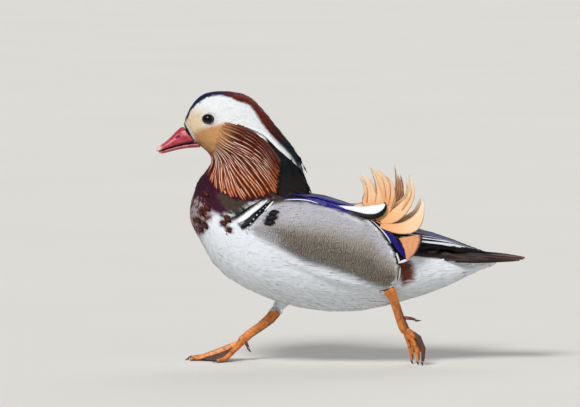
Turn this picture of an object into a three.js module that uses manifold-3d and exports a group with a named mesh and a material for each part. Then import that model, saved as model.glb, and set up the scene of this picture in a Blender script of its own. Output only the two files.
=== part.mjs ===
// A drake mandarin duck in mid stride, life size, in millimetres.
// +Z is up and the floor is z = 0. The bird faces -X, so its left side is -Y.
// The origin is on the floor under the middle of the bird's bounding box.
// Every shape is a loft through named stations, and neighbours are cut apart by a thin gap.

import * as THREE from 'three';
import { mergeVertices } from 'three/addons/utils/BufferGeometryUtils.js';
import Module from 'manifold-3d';

const wasm = await Module();
wasm.setup();

// Driving dimensions
const GAP = 0.3;              // clearance between two neighbouring pieces
const SIDE_REACH = 90;        // how far a side cutter runs out past the body
const LEFT = -1;              // sign of Y on the bird's left
const RIGHT = 1;              // sign of Y on the bird's right

// Trunk stations from breast to vent: [x, top, bottom, half width]
const TRUNK = [
  [-133.6, 136.4, 128.5, 4], [-132.3, 144.2, 122.5, 13], [-129.0, 152.0, 116.0, 21.5],
  [-123.0, 158.0, 105.5, 30], [-114.0, 159.5, 88.5, 37.5], [-101.0, 157.5, 75.5, 43.5],
  [-83.0, 153.1, 64.6, 47.5], [-61.0, 150.9, 55.2, 49.5], [-36.1, 150.4, 48.0, 50],
  [-9.7, 146.2, 44.6, 49], [16.7, 136.5, 45.3, 45.5], [38.7, 127.0, 49.7, 40],
  [56.3, 118.0, 54.6, 34], [73.9, 108.0, 59.8, 28], [91.5, 99.0, 66.4, 21.5],
  [109.1, 93.5, 74.8, 15], [124.1, 90.6, 81.8, 8.5], [137.0, 89.4, 86.4, 4],
];
const TRUNK_WAIST = 0.5;      // height of the widest line, as a share of each section's height
const TRUNK_POWER = 2.15;     // roundness of the sections, 2 is an ellipse

// Head, ruff and crest as one hood: [z, front x, back x, half width, widest at, taper of the back]
const HOOD = [
  [240.3, -110.5, -97.0, 5, 0.50, 1.0], [239.0, -118.8, -90.6, 9.3, 0.50, 1.0],
  [235.8, -125.0, -81.8, 12.5, 0.47, 1.0], [231.0, -129.9, -74.9, 14.9, 0.45, 1.05],
  [225.0, -133.9, -69.8, 16.6, 0.43, 1.1], [218.0, -137.3, -63.2, 17.8, 0.42, 1.2],
  [211.0, -139.4, -58.0, 18.8, 0.42, 1.35], [203.5, -137.6, -51.6, 20.0, 0.42, 1.5],
  [196.5, -132.6, -46.0, 20.8, 0.43, 1.7], [190.1, -123.6, -40.9, 21.0, 0.43, 1.8],
  [184.8, -117.2, -38.5, 21.0, 0.42, 1.9], [179.5, -114.4, -36.7, 21.6, 0.40, 2.0],
  [174.2, -115.8, -34.8, 22.6, 0.40, 2.0], [167.5, -121.4, -32.1, 24.0, 0.40, 2.0],
  [161.0, -126.3, -29.5, 26.0, 0.40, 2.0], [155.5, -128.6, -27.3, 27.5, 0.40, 2.0],
  [151.2, -130.0, -29.8, 28.0, 0.40, 1.8], [145.0, -130.5, -45.0, 27.5, 0.42, 1.4],
];
const RUFF_THICKNESS = 6.5;   // depth of the fan of long cheek feathers
const HEAD_BASE_Z = 184;      // where the head meets the neck, under the ruff

// Side outlines as [x, z]
const RUFF_OUTLINE = [
  [-103.8, 213.2], [-91.0, 211.4], [-77.0, 204.8], [-65.5, 195.0], [-56.0, 181.5],
  [-56.0, 170.0], [-59.0, 155.0], [-70.0, 149.8], [-89.0, 148.6], [-101.0, 151.0],
  [-108.0, 157.0], [-113.0, 165.0], [-114.2, 176.0], [-112.0, 190.0], [-108.6, 203.0],
];
const CREST_FRONT = [
  [-99.0, 252.0], [-98.4, 237.0], [-90.6, 233.4], [-82.4, 229.8], [-75.0, 222.4],
  [-69.4, 213.0], [-66.4, 206.0], [-65.5, 195.5], [-56.0, 182.0], [-55.6, 170.0],
  [-58.6, 155.0], [-60.0, 140.0],
];
const CREST_BACK_X = 0;       // the crest's cutter runs past its tip
const FLANK_OUTLINE = [
  [-77.5, 124.0], [-73.0, 133.5], [-64.0, 139.5], [-47.0, 143.0], [-30.0, 142.4],
  [-9.7, 138.6], [10.0, 131.0], [24.6, 127.8], [37.0, 116.4], [46.5, 100.5],
  [49.6, 86.0], [46.0, 71.5], [37.8, 66.6], [18.0, 69.0], [-6.0, 74.5],
  [-38.0, 88.0], [-63.0, 104.0],
];
const FLANK_SWELL = [0.9, 5.0];    // how proud the flank feathers stand, front and rear
const WING_OUTLINE = [
  [-47.0, 146.5], [-30.0, 160.0], [20.0, 160.0], [40.0, 146.0], [39.0, 137.0],
  [33.0, 128.5], [43.0, 119.0], [51.5, 108.5], [58.5, 93.0], [50.5, 87.0],
  [46.0, 104.0], [34.0, 120.5], [24.6, 129.0], [8.0, 133.5], [-12.0, 140.4],
];
const WING_SWELL = 3.6;       // thickness of the folded wing at its side
const WING_RISE = 1.1;        // and over the back
const BACK_STRIP = 5;         // half width of the back that shows between the wings

// Bill stations from tip to base: [x, top, bottom, half width]
const BILL_UPPER = [
  [-162.5, 188.6, 187.4, 1.6], [-161.2, 190.3, 186.8, 4.2], [-158.4, 192.0, 187.4, 5.9],
  [-154.9, 194.5, 188.6, 6.5], [-150.5, 198.3, 189.9, 6.6], [-145.2, 204.0, 191.0, 6.8],
  [-140.8, 207.8, 192.0, 7.4], [-136.0, 209.3, 193.0, 8.2], [-126.0, 208.0, 194.6, 8.8],
];
const BILL_LOWER = [
  [-160.0, 186.3, 185.6, 2.4], [-157.5, 186.9, 185.2, 4.6], [-154.0, 188.0, 186.0, 5.5],
  [-149.6, 189.2, 187.2, 5.6], [-145.2, 190.3, 188.4, 5.8], [-140.3, 191.3, 189.4, 6.4],
  [-135.0, 192.3, 190.2, 7.2], [-124.0, 193.6, 190.8, 8.0],
];
const EYE = { x: -115.9, z: 215.7, side: 13.6, long: 5.9, tall: 5.2, deep: 4.6 };

// Folded wing tips over the rump: [x, top, bottom, half width]
const WING_TIPS = [
  [44.0, 123.5, 106.0, 33.5], [56.0, 121.5, 101.5, 32.0], [69.5, 118.6, 100.4, 28.5],
  [82.0, 115.3, 100.8, 24.0], [95.0, 110.8, 100.2, 18.5], [108.0, 106.4, 98.6, 13.0],
  [120.0, 101.8, 97.2, 8.0], [132.5, 96.9, 95.4, 2.5],
];
// Tail feathers: [x, top, bottom, half width]
const TAIL = [
  [84.0, 99.5, 92.5, 15.0], [96.0, 98.6, 90.6, 19.5], [110.0, 97.6, 89.6, 22.5],
  [125.0, 96.6, 89.8, 23.5], [140.0, 95.7, 90.4, 21.0], [152.0, 94.8, 90.8, 15.0],
  [159.5, 93.8, 91.4, 8.0], [162.5, 93.1, 92.2, 2.5],
];

// Sail feathers: each flame is a curved blade, path points [x, z, full width]
const FLAMES = [
  [[30.0, 131.0, 6], [21.0, 137.5, 8], [11.5, 139.8, 1.2]],
  [[29.0, 128.0, 7], [25.5, 142.0, 14], [25.8, 152.2, 9], [23.8, 160.6, 5.2], [17.2, 168.6, 1.0]],
  [[33.0, 127.0, 8], [37.6, 140.5, 17], [39.4, 151.0, 17.5], [34.6, 162.5, 12], [26.0, 173.6, 4.0]],
  [[35.0, 124.5, 5], [46.5, 132.0, 8], [56.6, 141.2, 8], [62.2, 152.0, 4.4], [61.4, 166.1, 1.0]],
  [[34.0, 123.5, 5], [48.5, 121.0, 10.5], [61.0, 123.0, 14], [69.3, 133.0, 6.5], [72.2, 145.2, 1.0]],
  [[58.5, 119.5, 12], [59.4, 114.0, 21], [60.2, 109.0, 19], [59.4, 102.0, 12], [57.0, 94.0, 1.4]],
];
const REAR_FLAME = [[41.0, 130.0, 5], [50.5, 141.0, 8], [53.0, 153.0, 7], [49.6, 170.0, 1.0]];
const FLAME_THICKNESS = 1.6;
const FLAME_LAYER = 0.21;     // each flame lies this much further out than the one before
const FAR_SAIL_SCALE = 0.95;  // the right sail is folded a little lower than the left
// How far the sails stand from the middle of the back at each height: [z, distance]
const SAIL_LEAN = [[92, 39], [102, 38.4], [110, 36], [118, 31.5], [126, 24], [136, 17], [150, 13], [175, 12]];

// Legs: stations are [x, distance from the middle, z, half depth, half width]
const RIGHT_LEG = {
  thigh: [[-40, 21, 74, 17, 13], [-45, 22, 62, 12.5, 10], [-51.5, 22.5, 53.5, 7.6, 6.8],
    [-56.0, 22.6, 46.6, 5.6, 5.2]],
  shank: [[-55.2, 22.6, 47.5, 4.6, 3.8], [-58.2, 22.6, 42.4, 5.2, 4.4], [-62.5, 22.3, 37.0, 4.9, 4.0],
    [-71.6, 21.1, 29.7, 4.1, 3.1], [-80.8, 19.8, 23.6, 4.0, 3.1], [-88.0, 18.7, 17.2, 4.3, 3.8]],
  toes: [
    [[-88.0, 16.0, 15.8, 3.0, 3.0], [-94.5, 10.5, 9.7, 2.7, 2.7], [-99.5, 5.6, 4.9, 2.5, 2.6],
      [-104.0, 1.8, 2.1, 2.3, 2.4], [-108.6, -1.8, 1.6, 2.0, 2.1]],
    [[-89.0, 18.4, 15.8, 3.2, 3.1], [-104.0, 18.8, 9.9, 2.8, 2.8], [-116.0, 18.2, 5.2, 2.6, 2.7],
      [-125.5, 17.4, 2.1, 2.3, 2.4], [-132.5, 16.5, 1.6, 2.0, 2.1]],
    [[-88.0, 20.8, 15.8, 3.0, 3.0], [-102.5, 26.5, 10.2, 2.7, 2.7], [-114.5, 30.6, 5.3, 2.5, 2.6],
      [-123.5, 33.2, 2.1, 2.3, 2.4], [-130.5, 35.2, 1.6, 2.0, 2.1]],
  ],
  hindToe: [[-86.4, 17.0, 20.0, 2.0, 1.9], [-83.6, 15.8, 15.6, 1.8, 1.7], [-82.0, 15.2, 12.4, 1.4, 1.3]],
};
const LEFT_LEG = {
  thigh: [[24, -22, 84, 17, 15], [31, -27, 77, 12, 10], [37.5, -33, 70.5, 7.4, 6.6],
    [41.6, -35.8, 66.4, 5.6, 5.0]],
  shank: [[40.6, -36.4, 70.5, 4.4, 3.8], [42.6, -36.0, 65.8, 5.1, 4.4], [46.2, -33.4, 58.0, 4.3, 3.7],
    [48.8, -29.8, 50.3, 4.0, 3.3], [51.4, -25.8, 42.0, 4.1, 3.3], [54.0, -21.8, 35.0, 4.5, 3.7],
    [56.6, -19.4, 29.8, 4.3, 3.9]],
  toes: [
    [[56.4, -17.4, 28.8, 2.7, 2.7], [59.6, -13.8, 19.4, 2.5, 2.5], [61.6, -11.4, 12.0, 2.3, 2.3],
      [62.4, -10.4, 4.4, 1.8, 1.9]],
    [[57.6, -19.2, 29.2, 2.9, 2.9], [64.8, -18.8, 20.8, 2.7, 2.7], [67.2, -18.4, 12.6, 2.4, 2.4],
      [67.6, -18.2, 4.2, 1.8, 1.9]],
    [[58.6, -21.2, 30.6, 2.7, 2.7], [68.2, -23.8, 24.6, 2.5, 2.5], [72.2, -25.6, 15.2, 2.3, 2.3],
      [71.6, -26.4, 4.4, 1.8, 1.9]],
  ],
  hindToe: [[52.6, -22.6, 41.6, 2.1, 2.0], [57.6, -20.2, 41.4, 1.9, 1.8], [61.6, -19.0, 40.8, 1.6, 1.5],
    [65.0, -18.2, 39.8, 1.3, 1.2]],
};
const WEB_THICKNESS = 0.8;
const WEB_REACH = 0.86;       // how far out along the toes the web runs
const WEB_DIP = 0.16;         // how far its free edge curves back between two toes
const CLAW = { length: 4.9, radius: 1.45, hook: 1.2, lift: 0.5 };

// Finishes: [colour, roughness]
const FINISH = {
  head: [0xf2ecdc, 0.8], crest: [0x3a1a18, 0.6], ruff: [0xa5502a, 0.7], neck: [0x6a3526, 0.8],
  bill: [0xb8324a, 0.35], eye: [0x120a08, 0.08], trunk: [0xdcdcd6, 0.85], flank: [0xb4aca2, 0.8],
  wing: [0x2a2570, 0.5], sail: [0xe8aa74, 0.7], wingTip: [0x55555e, 0.6], tail: [0x46362f, 0.75],
  thigh: [0xd8d4cc, 0.85], leg: [0xe0762a, 0.5], claw: [0x3a2c28, 0.4],
};

// A smooth row of numbers at u, counted in stations, through rows of numbers
function rowAt(rows, u) {
  const last = rows.length - 1;
  const i = Math.min(Math.floor(u), last - 1);
  const t = u - i;
  const before = rows[Math.max(i - 1, 0)];
  const after = rows[Math.min(i + 2, last)];
  return rows[i].map((a, k) => {
    const b = rows[i + 1][k];
    const slopeA = (b - before[k]) / 2;
    const slopeB = (after[k] - a) / 2;
    const t2 = t * t;
    const t3 = t2 * t;
    return (2 * t3 - 3 * t2 + 1) * a + (t3 - 2 * t2 + t) * slopeA
      + (3 * t2 - 2 * t3) * b + (t3 - t2) * slopeB;
  });
}

// Rows with one more station halfway between each two
function refine(rows) {
  return Array.from({ length: rows.length * 2 - 1 }, (_, n) => rowAt(rows, n / 2));
}

// The value in column 1 at a place in column 0, straight between rows
function lookUp(rows, place) {
  const above = rows.findIndex((row) => row[0] > place);
  const i = above < 0 ? rows.length - 1 : Math.max(above, 1);
  const share = (place - rows[i - 1][0]) / (rows[i][0] - rows[i - 1][0]);
  return THREE.MathUtils.lerp(rows[i - 1][1], rows[i][1], THREE.MathUtils.clamp(share, 0, 1));
}

// A closed geometry through rings of points, with a fan over each end
function ringsToGeometry(rings) {
  const sides = rings[0].length;
  const centres = [rings[0], rings[rings.length - 1]].map((ring) => {
    const centre = new THREE.Vector3();
    ring.forEach((point) => centre.add(point));
    return centre.divideScalar(sides);
  });
  const points = [...rings.flat(), ...centres];
  const faces = [];
  const startCentre = rings.length * sides;
  for (let k = 0; k < sides; k += 1) {
    const next = (k + 1) % sides;
    for (let r = 0; r < rings.length - 1; r += 1) {
      const a = r * sides;
      const b = a + sides;
      faces.push([a + k, a + next, b + next], [a + k, b + next, b + k]);
    }
    const end = (rings.length - 1) * sides;
    faces.push([startCentre, next, k], [startCentre + 1, end + k, end + next]);
  }
  return facesToGeometry(points, faces);
}

// A geometry from shared points and triangles, turned so that its faces point outwards
function facesToGeometry(points, faces) {
  const volume = faces.reduce((sum, [a, b, c]) => (
    sum + points[a].dot(new THREE.Vector3().crossVectors(points[b], points[c]))), 0);
  const turned = volume < 0 ? faces.map(([a, b, c]) => [a, c, b]) : faces;
  const geometry = new THREE.BufferGeometry();
  geometry.setAttribute('position', new THREE.Float32BufferAttribute(
    points.flatMap((point) => point.toArray()), 3));
  geometry.setIndex(turned.flat());
  return geometry;
}

// A solid that can be cut and joined, from a closed geometry
function solidOf(geometry) {
  geometry.deleteAttribute('normal');
  geometry.deleteAttribute('uv');
  const merged = mergeVertices(geometry, 1e-4);
  return new wasm.Manifold(new wasm.Mesh({
    numProp: 3,
    vertProperties: new Float32Array(merged.getAttribute('position').array),
    triVerts: new Uint32Array(merged.getIndex().array),
  }));
}

// The geometry of a solid's largest piece
function geometryOf(solid) {
  const pieces = solid.decompose();
  const whole = pieces.reduce((best, piece) => (piece.volume() > best.volume() ? piece : best));
  const mesh = whole.getMesh();
  const geometry = new THREE.BufferGeometry();
  geometry.setAttribute('position', new THREE.BufferAttribute(new Float32Array(mesh.vertProperties), 3));
  geometry.setIndex(new THREE.BufferAttribute(new Uint32Array(mesh.triVerts), 1));
  return geometry;
}

// One coordinate of a rounded section, where power 2 gives an ellipse
function rounded(value, power) {
  return Math.sign(value) * Math.abs(value) ** (2 / power);
}

// A body lofted along X through [x, top, bottom, half width], swollen to the side and up and down
function loftAlongX(stations, options = {}) {
  const { sides = 28, power = 2, waist = 0.5, swell = () => [0, 0] } = options;
  const rings = stations.map(([x, top, bottom, half]) => {
    const [sideSwell, heightSwell] = swell(x);
    const middle = THREE.MathUtils.lerp(bottom, top, waist);
    return Array.from({ length: sides }, (_, k) => {
      const angle = (2 * Math.PI * (k + 0.5)) / sides;
      const reach = Math.sin(angle) > 0 ? top + heightSwell - middle : middle - bottom + heightSwell;
      return new THREE.Vector3(
        x,
        (half + sideSwell) * rounded(Math.cos(angle), power),
        middle + reach * rounded(Math.sin(angle), power),
      );
    });
  });
  return solidOf(ringsToGeometry(rings));
}

// The hood lofted along Z, with its sides moved in or out by an amount
function hoodSolid(sideSwell = 0, lengthSwell = 0) {
  const halfSides = 9;
  const rings = HOOD.map(([z, front, back, half, widestAt, taper]) => {
    const widest = THREE.MathUtils.lerp(front, back, widestAt);
    const across = Math.max(half + sideSwell, 1);
    const outline = Array.from({ length: halfSides + 1 }, (_, k) => {
      const along = -Math.cos((Math.PI * k) / halfSides);
      const reach = along < 0 ? widest - front + lengthSwell : back - widest + lengthSwell;
      const width = across * (1 - along * along) ** (along < 0 ? 0.5 : taper / 2);
      return [widest + along * reach, width];
    });
    const nearSide = outline.map(([x, y]) => new THREE.Vector3(x, y, z));
    const farSide = outline.slice(1, -1).reverse().map(([x, y]) => new THREE.Vector3(x, -y, z));
    return [...nearSide, ...farSide];
  });
  return solidOf(ringsToGeometry(rings));
}

// A round limb through [x, y, z, half depth, half width], its depth in the upright plane of its run
function limbSolid(stations, options = {}) {
  const { swell = 0, sides = 6, bend = (point) => point } = options;
  const rings = stations.map(([x, y, z, depth, width], n) => {
    const before = stations[Math.max(n - 1, 0)];
    const after = stations[Math.min(n + 1, stations.length - 1)];
    const run = new THREE.Vector3(after[0] - before[0], after[1] - before[1], after[2] - before[2]);
    const side = new THREE.Vector3(0, 1, 0).addScaledVector(run, -run.y / run.lengthSq()).normalize();
    const up = new THREE.Vector3().crossVectors(side, run.normalize());
    return Array.from({ length: sides }, (_, k) => {
      const angle = (2 * Math.PI * k) / sides;
      return new THREE.Vector3(x, y, z)
        .addScaledVector(side, (width + swell) * Math.cos(angle))
        .addScaledVector(up, (depth + swell) * Math.sin(angle));
    });
  });
  const closed = [endRing(rings, 0, swell), ...rings, endRing(rings, -1, swell)];
  return solidOf(ringsToGeometry(closed.map((ring) => ring.map(bend))));
}

// A small ring past the end of a limb, which rounds that end
function endRing(rings, which, swell) {
  const ring = rings.at(which);
  const inner = rings.at(which === 0 ? 1 : -2);
  const centreOf = (points) => points.reduce((sum, p) => sum.add(p), new THREE.Vector3())
    .divideScalar(points.length);
  const centre = centreOf(ring);
  const outward = centre.clone().sub(centreOf(inner)).normalize();
  const radius = ring[0].distanceTo(centre);
  const tip = centre.clone().addScaledVector(outward, radius * 0.55 + swell);
  return ring.map((point) => tip.clone().add(point.clone().sub(centre).multiplyScalar(0.5)));
}

// A closed outline through [x, z] points, moved outwards by an amount
function outlineOf(points, outward = 0) {
  const corners = points.map(([x, z]) => new THREE.Vector2(x, z));
  const turn = THREE.ShapeUtils.area(corners) > 0 ? 1 : -1;
  return corners.map((point, n) => {
    const before = corners[(n + corners.length - 1) % corners.length];
    const after = corners[(n + 1) % corners.length];
    const run = after.clone().sub(before).normalize();
    return new THREE.Vector2(point.x + run.y * outward * turn, point.y - run.x * outward * turn);
  });
}

// A cutter with a side outline, from one distance off the middle to another
function sideCutter(outline, from, to) {
  const geometry = new THREE.ExtrudeGeometry(new THREE.Shape(outline), {
    depth: Math.abs(to - from),
    bevelEnabled: false,
    steps: 1,
  });
  geometry.rotateX(Math.PI / 2);
  geometry.translate(0, Math.max(from, to), 0);
  return solidOf(geometry);
}

// A box cutter between two corners
function boxCutter(low, high) {
  const size = high.map((value, k) => value - low[k]);
  const geometry = new THREE.BoxGeometry(...size);
  geometry.translate(...high.map((value, k) => (value + low[k]) / 2));
  return solidOf(geometry);
}

// Trunk, with its surface moved out by a gap or swollen into the coat of the flank or wing
function trunkSolid(swell = () => [0, 0]) {
  return loftAlongX(TRUNK, { sides: 26, power: TRUNK_POWER, waist: TRUNK_WAIST, swell });
}
const trunk = trunkSolid();
const trunkRoom = trunkSolid(() => [GAP, GAP]);

// Bill, cut where it meets the feathers of the face
function billSolid(stations) {
  return loftAlongX(stations, { sides: 14, power: 2.3, waist: 0.28 });
}
const hood = hoodSolid();
const hoodRoom = hoodSolid(GAP, GAP);
const billUpper = billSolid(BILL_UPPER).subtract(hoodRoom);
const billLower = billSolid(BILL_LOWER).subtract(hoodRoom);

// Eyeball on one side, flattened towards the lids
function eyeSolid(side, swell = 0) {
  const geometry = new THREE.SphereGeometry(1, 12, 8);
  geometry.scale(EYE.long + swell, EYE.deep + swell, EYE.tall + swell);
  geometry.translate(EYE.x, side * EYE.side, EYE.z);
  return solidOf(geometry);
}

// Ruff on one side: the outer layer of the hood inside the ruff's outline
const hoodCore = hoodSolid(-RUFF_THICKNESS);
const hoodCoreInside = hoodSolid(-RUFF_THICKNESS - GAP);
function ruffSolid(side) {
  const cutter = sideCutter(outlineOf(RUFF_OUTLINE), 0, side * SIDE_REACH);
  return hood.intersect(cutter).subtract(hoodCore).subtract(trunkRoom);
}

// Crest: the hood behind the line where the long crown feathers begin
function crestCutter(outward) {
  const front = CREST_FRONT.map(([x, z]) => new THREE.Vector2(x - outward, z));
  const top = CREST_FRONT[0][1];
  const bottom = CREST_FRONT.at(-1)[1];
  const back = [new THREE.Vector2(CREST_BACK_X, bottom), new THREE.Vector2(CREST_BACK_X, top)];
  return sideCutter([...front, ...back], -SIDE_REACH, SIDE_REACH);
}
const crest = hood.intersect(crestCutter(0)).subtract(trunkRoom)
  .subtract(sideCutter(outlineOf(RUFF_OUTLINE, GAP), -SIDE_REACH, SIDE_REACH));

// Head and neck: what is left of the hood inside the ruffs, parted by a level cut
const bareHood = hood
  .subtract(sideCutter(outlineOf(RUFF_OUTLINE, GAP), -SIDE_REACH, SIDE_REACH))
  .add(hoodCoreInside)
  .subtract(crestCutter(GAP));
const REACH = 400;
const aboveHeadBase = boxCutter([-REACH, -REACH, HEAD_BASE_Z], [REACH, REACH, REACH]);
const belowHeadBase = boxCutter([-REACH, -REACH, -REACH], [REACH, REACH, HEAD_BASE_Z - GAP]);
const head = bareHood.intersect(aboveHeadBase)
  .subtract(eyeSolid(LEFT, GAP))
  .subtract(eyeSolid(RIGHT, GAP));
const neck = bareHood.intersect(belowHeadBase).subtract(trunkRoom);

// Flank feathers: a shell on the side of the trunk that stands prouder towards its rear edge
function flankSwell(x) {
  const rearward = THREE.MathUtils.smoothstep(x, FLANK_OUTLINE[0][0], FLANK_OUTLINE[10][0]);
  return [THREE.MathUtils.lerp(...FLANK_SWELL, rearward), 1.2];
}
function flankSolid(side) {
  const cutter = sideCutter(outlineOf(FLANK_OUTLINE), 0, side * SIDE_REACH);
  return trunkSolid(flankSwell).intersect(cutter).subtract(trunkRoom);
}

// Folded wing above and behind the flank
function wingSolid(side) {
  const cutter = sideCutter(outlineOf(WING_OUTLINE), side * BACK_STRIP, side * SIDE_REACH);
  const flankRoom = sideCutter(outlineOf(FLANK_OUTLINE, GAP), 0, side * SIDE_REACH);
  return trunkSolid(() => [WING_SWELL, WING_RISE]).intersect(cutter).subtract(trunkRoom)
    .subtract(flankRoom).subtract(hoodRoom);
}

// One flame of a sail feather: a thin blade along its path, bent to lean as the sail does
function flameSolid(path, side, scale, layer) {
  const root = FLAMES[0][0];
  const rows = refine(path).map(([x, z, width]) => [
    root[0] + (x - root[0]) * scale, 0, root[1] + (z - root[1]) * scale,
    width / 2, FLAME_THICKNESS / 2,
  ]);
  const bend = ({ x, y, z }) => new THREE.Vector3(
    x,
    y + side * (lookUp(SAIL_LEAN, z) + layer * FLAME_LAYER),
    z,
  );
  return limbSolid(rows, { sides: 4, bend });
}

// Sail: the flames of one side, joined where they overlap at the base, clear of the wing below
const wingRoom = trunkSolid(() => [WING_SWELL + GAP, WING_RISE + GAP]);
function sailSolid(side, scale, flames) {
  return flames.map((path, layer) => flameSolid(path, side, scale, layer))
    .reduce((sum, flame) => sum.add(flame))
    .subtract(wingRoom);
}
const farFlames = [...FLAMES, REAR_FLAME];

// Tail and the folded wing tips that lie over it
const tailShape = (swell) => loftAlongX(TAIL, { sides: 12, power: 1.7, swell: () => [swell, swell] });
const tail = tailShape(0).subtract(trunkRoom);
const tailRoom = tailShape(GAP);
const tipShape = loftAlongX(WING_TIPS, { sides: 16, power: 1.9, waist: 0.3 });
function wingTipSolid(side) {
  const half = boxCutter(
    [-REACH, side === LEFT ? -REACH : GAP / 2, -REACH],
    [REACH, side === LEFT ? -GAP / 2 : REACH, REACH],
  );
  const wingCutter = sideCutter(outlineOf(WING_OUTLINE, GAP), -SIDE_REACH, SIDE_REACH);
  return tipShape.intersect(half).subtract(trunkRoom).subtract(tailRoom).subtract(wingCutter);
}

// Skin between two neighbouring toes, with a curved free edge
function webSolid(toeA, toeB) {
  const steps = 4;
  const across = 2;
  const alongToe = (toe, share) => {
    const [x, y, z] = rowAt(toe, share * WEB_REACH * (toe.length - 1));
    return new THREE.Vector3(x, y, z);
  };
  const points = [];
  for (let i = 0; i <= steps; i += 1) {
    for (let j = 0; j <= across; j += 1) {
      const between = j / across;
      const dip = 1 - WEB_DIP * 4 * between * (1 - between);
      const share = (i / steps) * dip;
      points.push(alongToe(toeA, share).lerp(alongToe(toeB, share), between));
    }
  }
  const mid = (steps / 2) * (across + 1);
  const normal = new THREE.Vector3().crossVectors(
    points[mid + across].clone().sub(points[mid]),
    points.at(-1).clone().sub(points[across]),
  ).normalize().multiplyScalar(WEB_THICKNESS / 2);
  const count = points.length;
  const both = [...points.map((p) => p.clone().add(normal)), ...points.map((p) => p.clone().sub(normal))];
  const faces = [];
  const quad = (a, b, c, d) => faces.push([a, b, c], [a, c, d]);
  const row = across + 1;
  for (let i = 0; i < steps; i += 1) {
    for (let j = 0; j < across; j += 1) {
      const a = i * row + j;
      quad(a, a + row, a + row + 1, a + 1);
      quad(count + a, count + a + 1, count + a + row + 1, count + a + row);
    }
    const left = i * row;
    const right = left + across;
    quad(left, count + left, count + left + row, left + row);
    quad(right, right + row, count + right + row, count + right);
  }
  for (let j = 0; j < across; j += 1) {
    const end = steps * row + j;
    quad(j, j + 1, count + j + 1, count + j);
    quad(end, count + end, count + end + 1, end + 1);
  }
  return solidOf(facesToGeometry(both, faces));
}

// Everything above the floor
const aboveFloor = boxCutter([-REACH, -REACH, 0], [REACH, REACH, REACH]);

// Claw at the end of a toe, hooked towards the sole, its point worn flat where it meets the floor
function clawSolid(toe) {
  const tip = new THREE.Vector3(...toe.at(-1));
  const run = tip.clone().sub(new THREE.Vector3(...rowAt(toe, toe.length - 1.5))).normalize();
  const sole = new THREE.Vector3().crossVectors(run, new THREE.Vector3(0, 1, 0)).normalize();
  const stations = [0, 0.5, 1].map((share) => {
    const point = tip.clone()
      .addScaledVector(run, CLAW.lift + CLAW.length * share)
      .addScaledVector(sole, CLAW.hook * share * share - CLAW.lift);
    const radius = CLAW.radius * (1 - 0.75 * share);
    return [...point.toArray(), radius, radius * 0.8];
  });
  return limbSolid(stations, { sides: 5 });
}

// One leg: thigh, shank, webbed foot, hind toe and claws, each cut clear of the one before
function legSolids(leg) {
  const flankRoom = sideCutter(outlineOf(FLANK_OUTLINE, GAP), -SIDE_REACH, SIDE_REACH);
  const thigh = limbSolid(leg.thigh, { sides: 12 }).subtract(trunkRoom).subtract(flankRoom);
  const thighRoom = limbSolid(leg.thigh, { sides: 12, swell: GAP });
  const shank = limbSolid(leg.shank, { sides: 8 }).subtract(thighRoom).subtract(trunkRoom)
    .subtract(flankRoom);
  const shankRoom = limbSolid(leg.shank, { sides: 8, swell: GAP });
  const [inner, middle, outer] = leg.toes;
  const webs = webSolid(inner, middle).add(webSolid(middle, outer));
  const foot = leg.toes.map((toe) => limbSolid(toe)).reduce((sum, toe) => sum.add(toe), webs)
    .subtract(shankRoom)
    .intersect(aboveFloor);
  const toeRoom = leg.toes.map((toe) => limbSolid(toe, { swell: GAP })).reduce((sum, toe) => sum.add(toe));
  const hindToe = limbSolid(leg.hindToe).subtract(shankRoom).subtract(toeRoom);
  const hindRoom = limbSolid(leg.hindToe, { swell: GAP });
  const claws = leg.toes.map((toe) => clawSolid(toe).subtract(toeRoom).intersect(aboveFloor));
  const hindClaw = clawSolid(leg.hindToe).subtract(hindRoom);
  return { thigh, shank, foot, hindToe, claws: [...claws, hindClaw] };
}

// Scene graph
const duck = new THREE.Group();

function addPiece(name, solid, finish) {
  const [colour, roughness] = FINISH[finish];
  const material = new THREE.MeshStandardMaterial({ color: colour, roughness, metalness: 0 });
  const mesh = new THREE.Mesh(geometryOf(solid), material);
  mesh.name = name;
  duck.add(mesh);
}

addPiece('trunk', trunk, 'trunk');
addPiece('neck', neck, 'neck');
addPiece('head', head, 'head');
addPiece('crest', crest, 'crest');
addPiece('bill_upper', billUpper, 'bill');
addPiece('bill_lower', billLower, 'bill');
addPiece('tail', tail, 'tail');

const SIDES = [['left', LEFT, LEFT_LEG], ['right', RIGHT, RIGHT_LEG]];
for (const [sideName, side, leg] of SIDES) {
  addPiece(`eye_${sideName}`, eyeSolid(side), 'eye');
  addPiece(`ruff_${sideName}`, ruffSolid(side), 'ruff');
  addPiece(`flank_${sideName}`, flankSolid(side), 'flank');
  addPiece(`wing_${sideName}`, wingSolid(side), 'wing');
  addPiece(`wing_tip_${sideName}`, wingTipSolid(side), 'wingTip');
  const { thigh, shank, foot, hindToe, claws } = legSolids(leg);
  addPiece(`thigh_${sideName}`, thigh, 'thigh');
  addPiece(`shank_${sideName}`, shank, 'leg');
  addPiece(`foot_${sideName}`, foot, 'leg');
  addPiece(`hind_toe_${sideName}`, hindToe, 'leg');
  const CLAW_NAMES = ['inner', 'middle', 'outer', 'hind'];
  claws.forEach((claw, n) => addPiece(`claw_${sideName}_${CLAW_NAMES[n]}`, claw, 'claw'));
}
addPiece('sail_left', sailSolid(LEFT, 1, FLAMES), 'sail');
addPiece('sail_right', sailSolid(RIGHT, FAR_SAIL_SCALE, farFlames), 'sail');

export default duck;
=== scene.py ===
import math

import bmesh
import bpy
import numpy as np
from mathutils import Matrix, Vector
from mathutils.bvhtree import BVHTree
from mathutils.interpolate import poly_3d_calc


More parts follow.
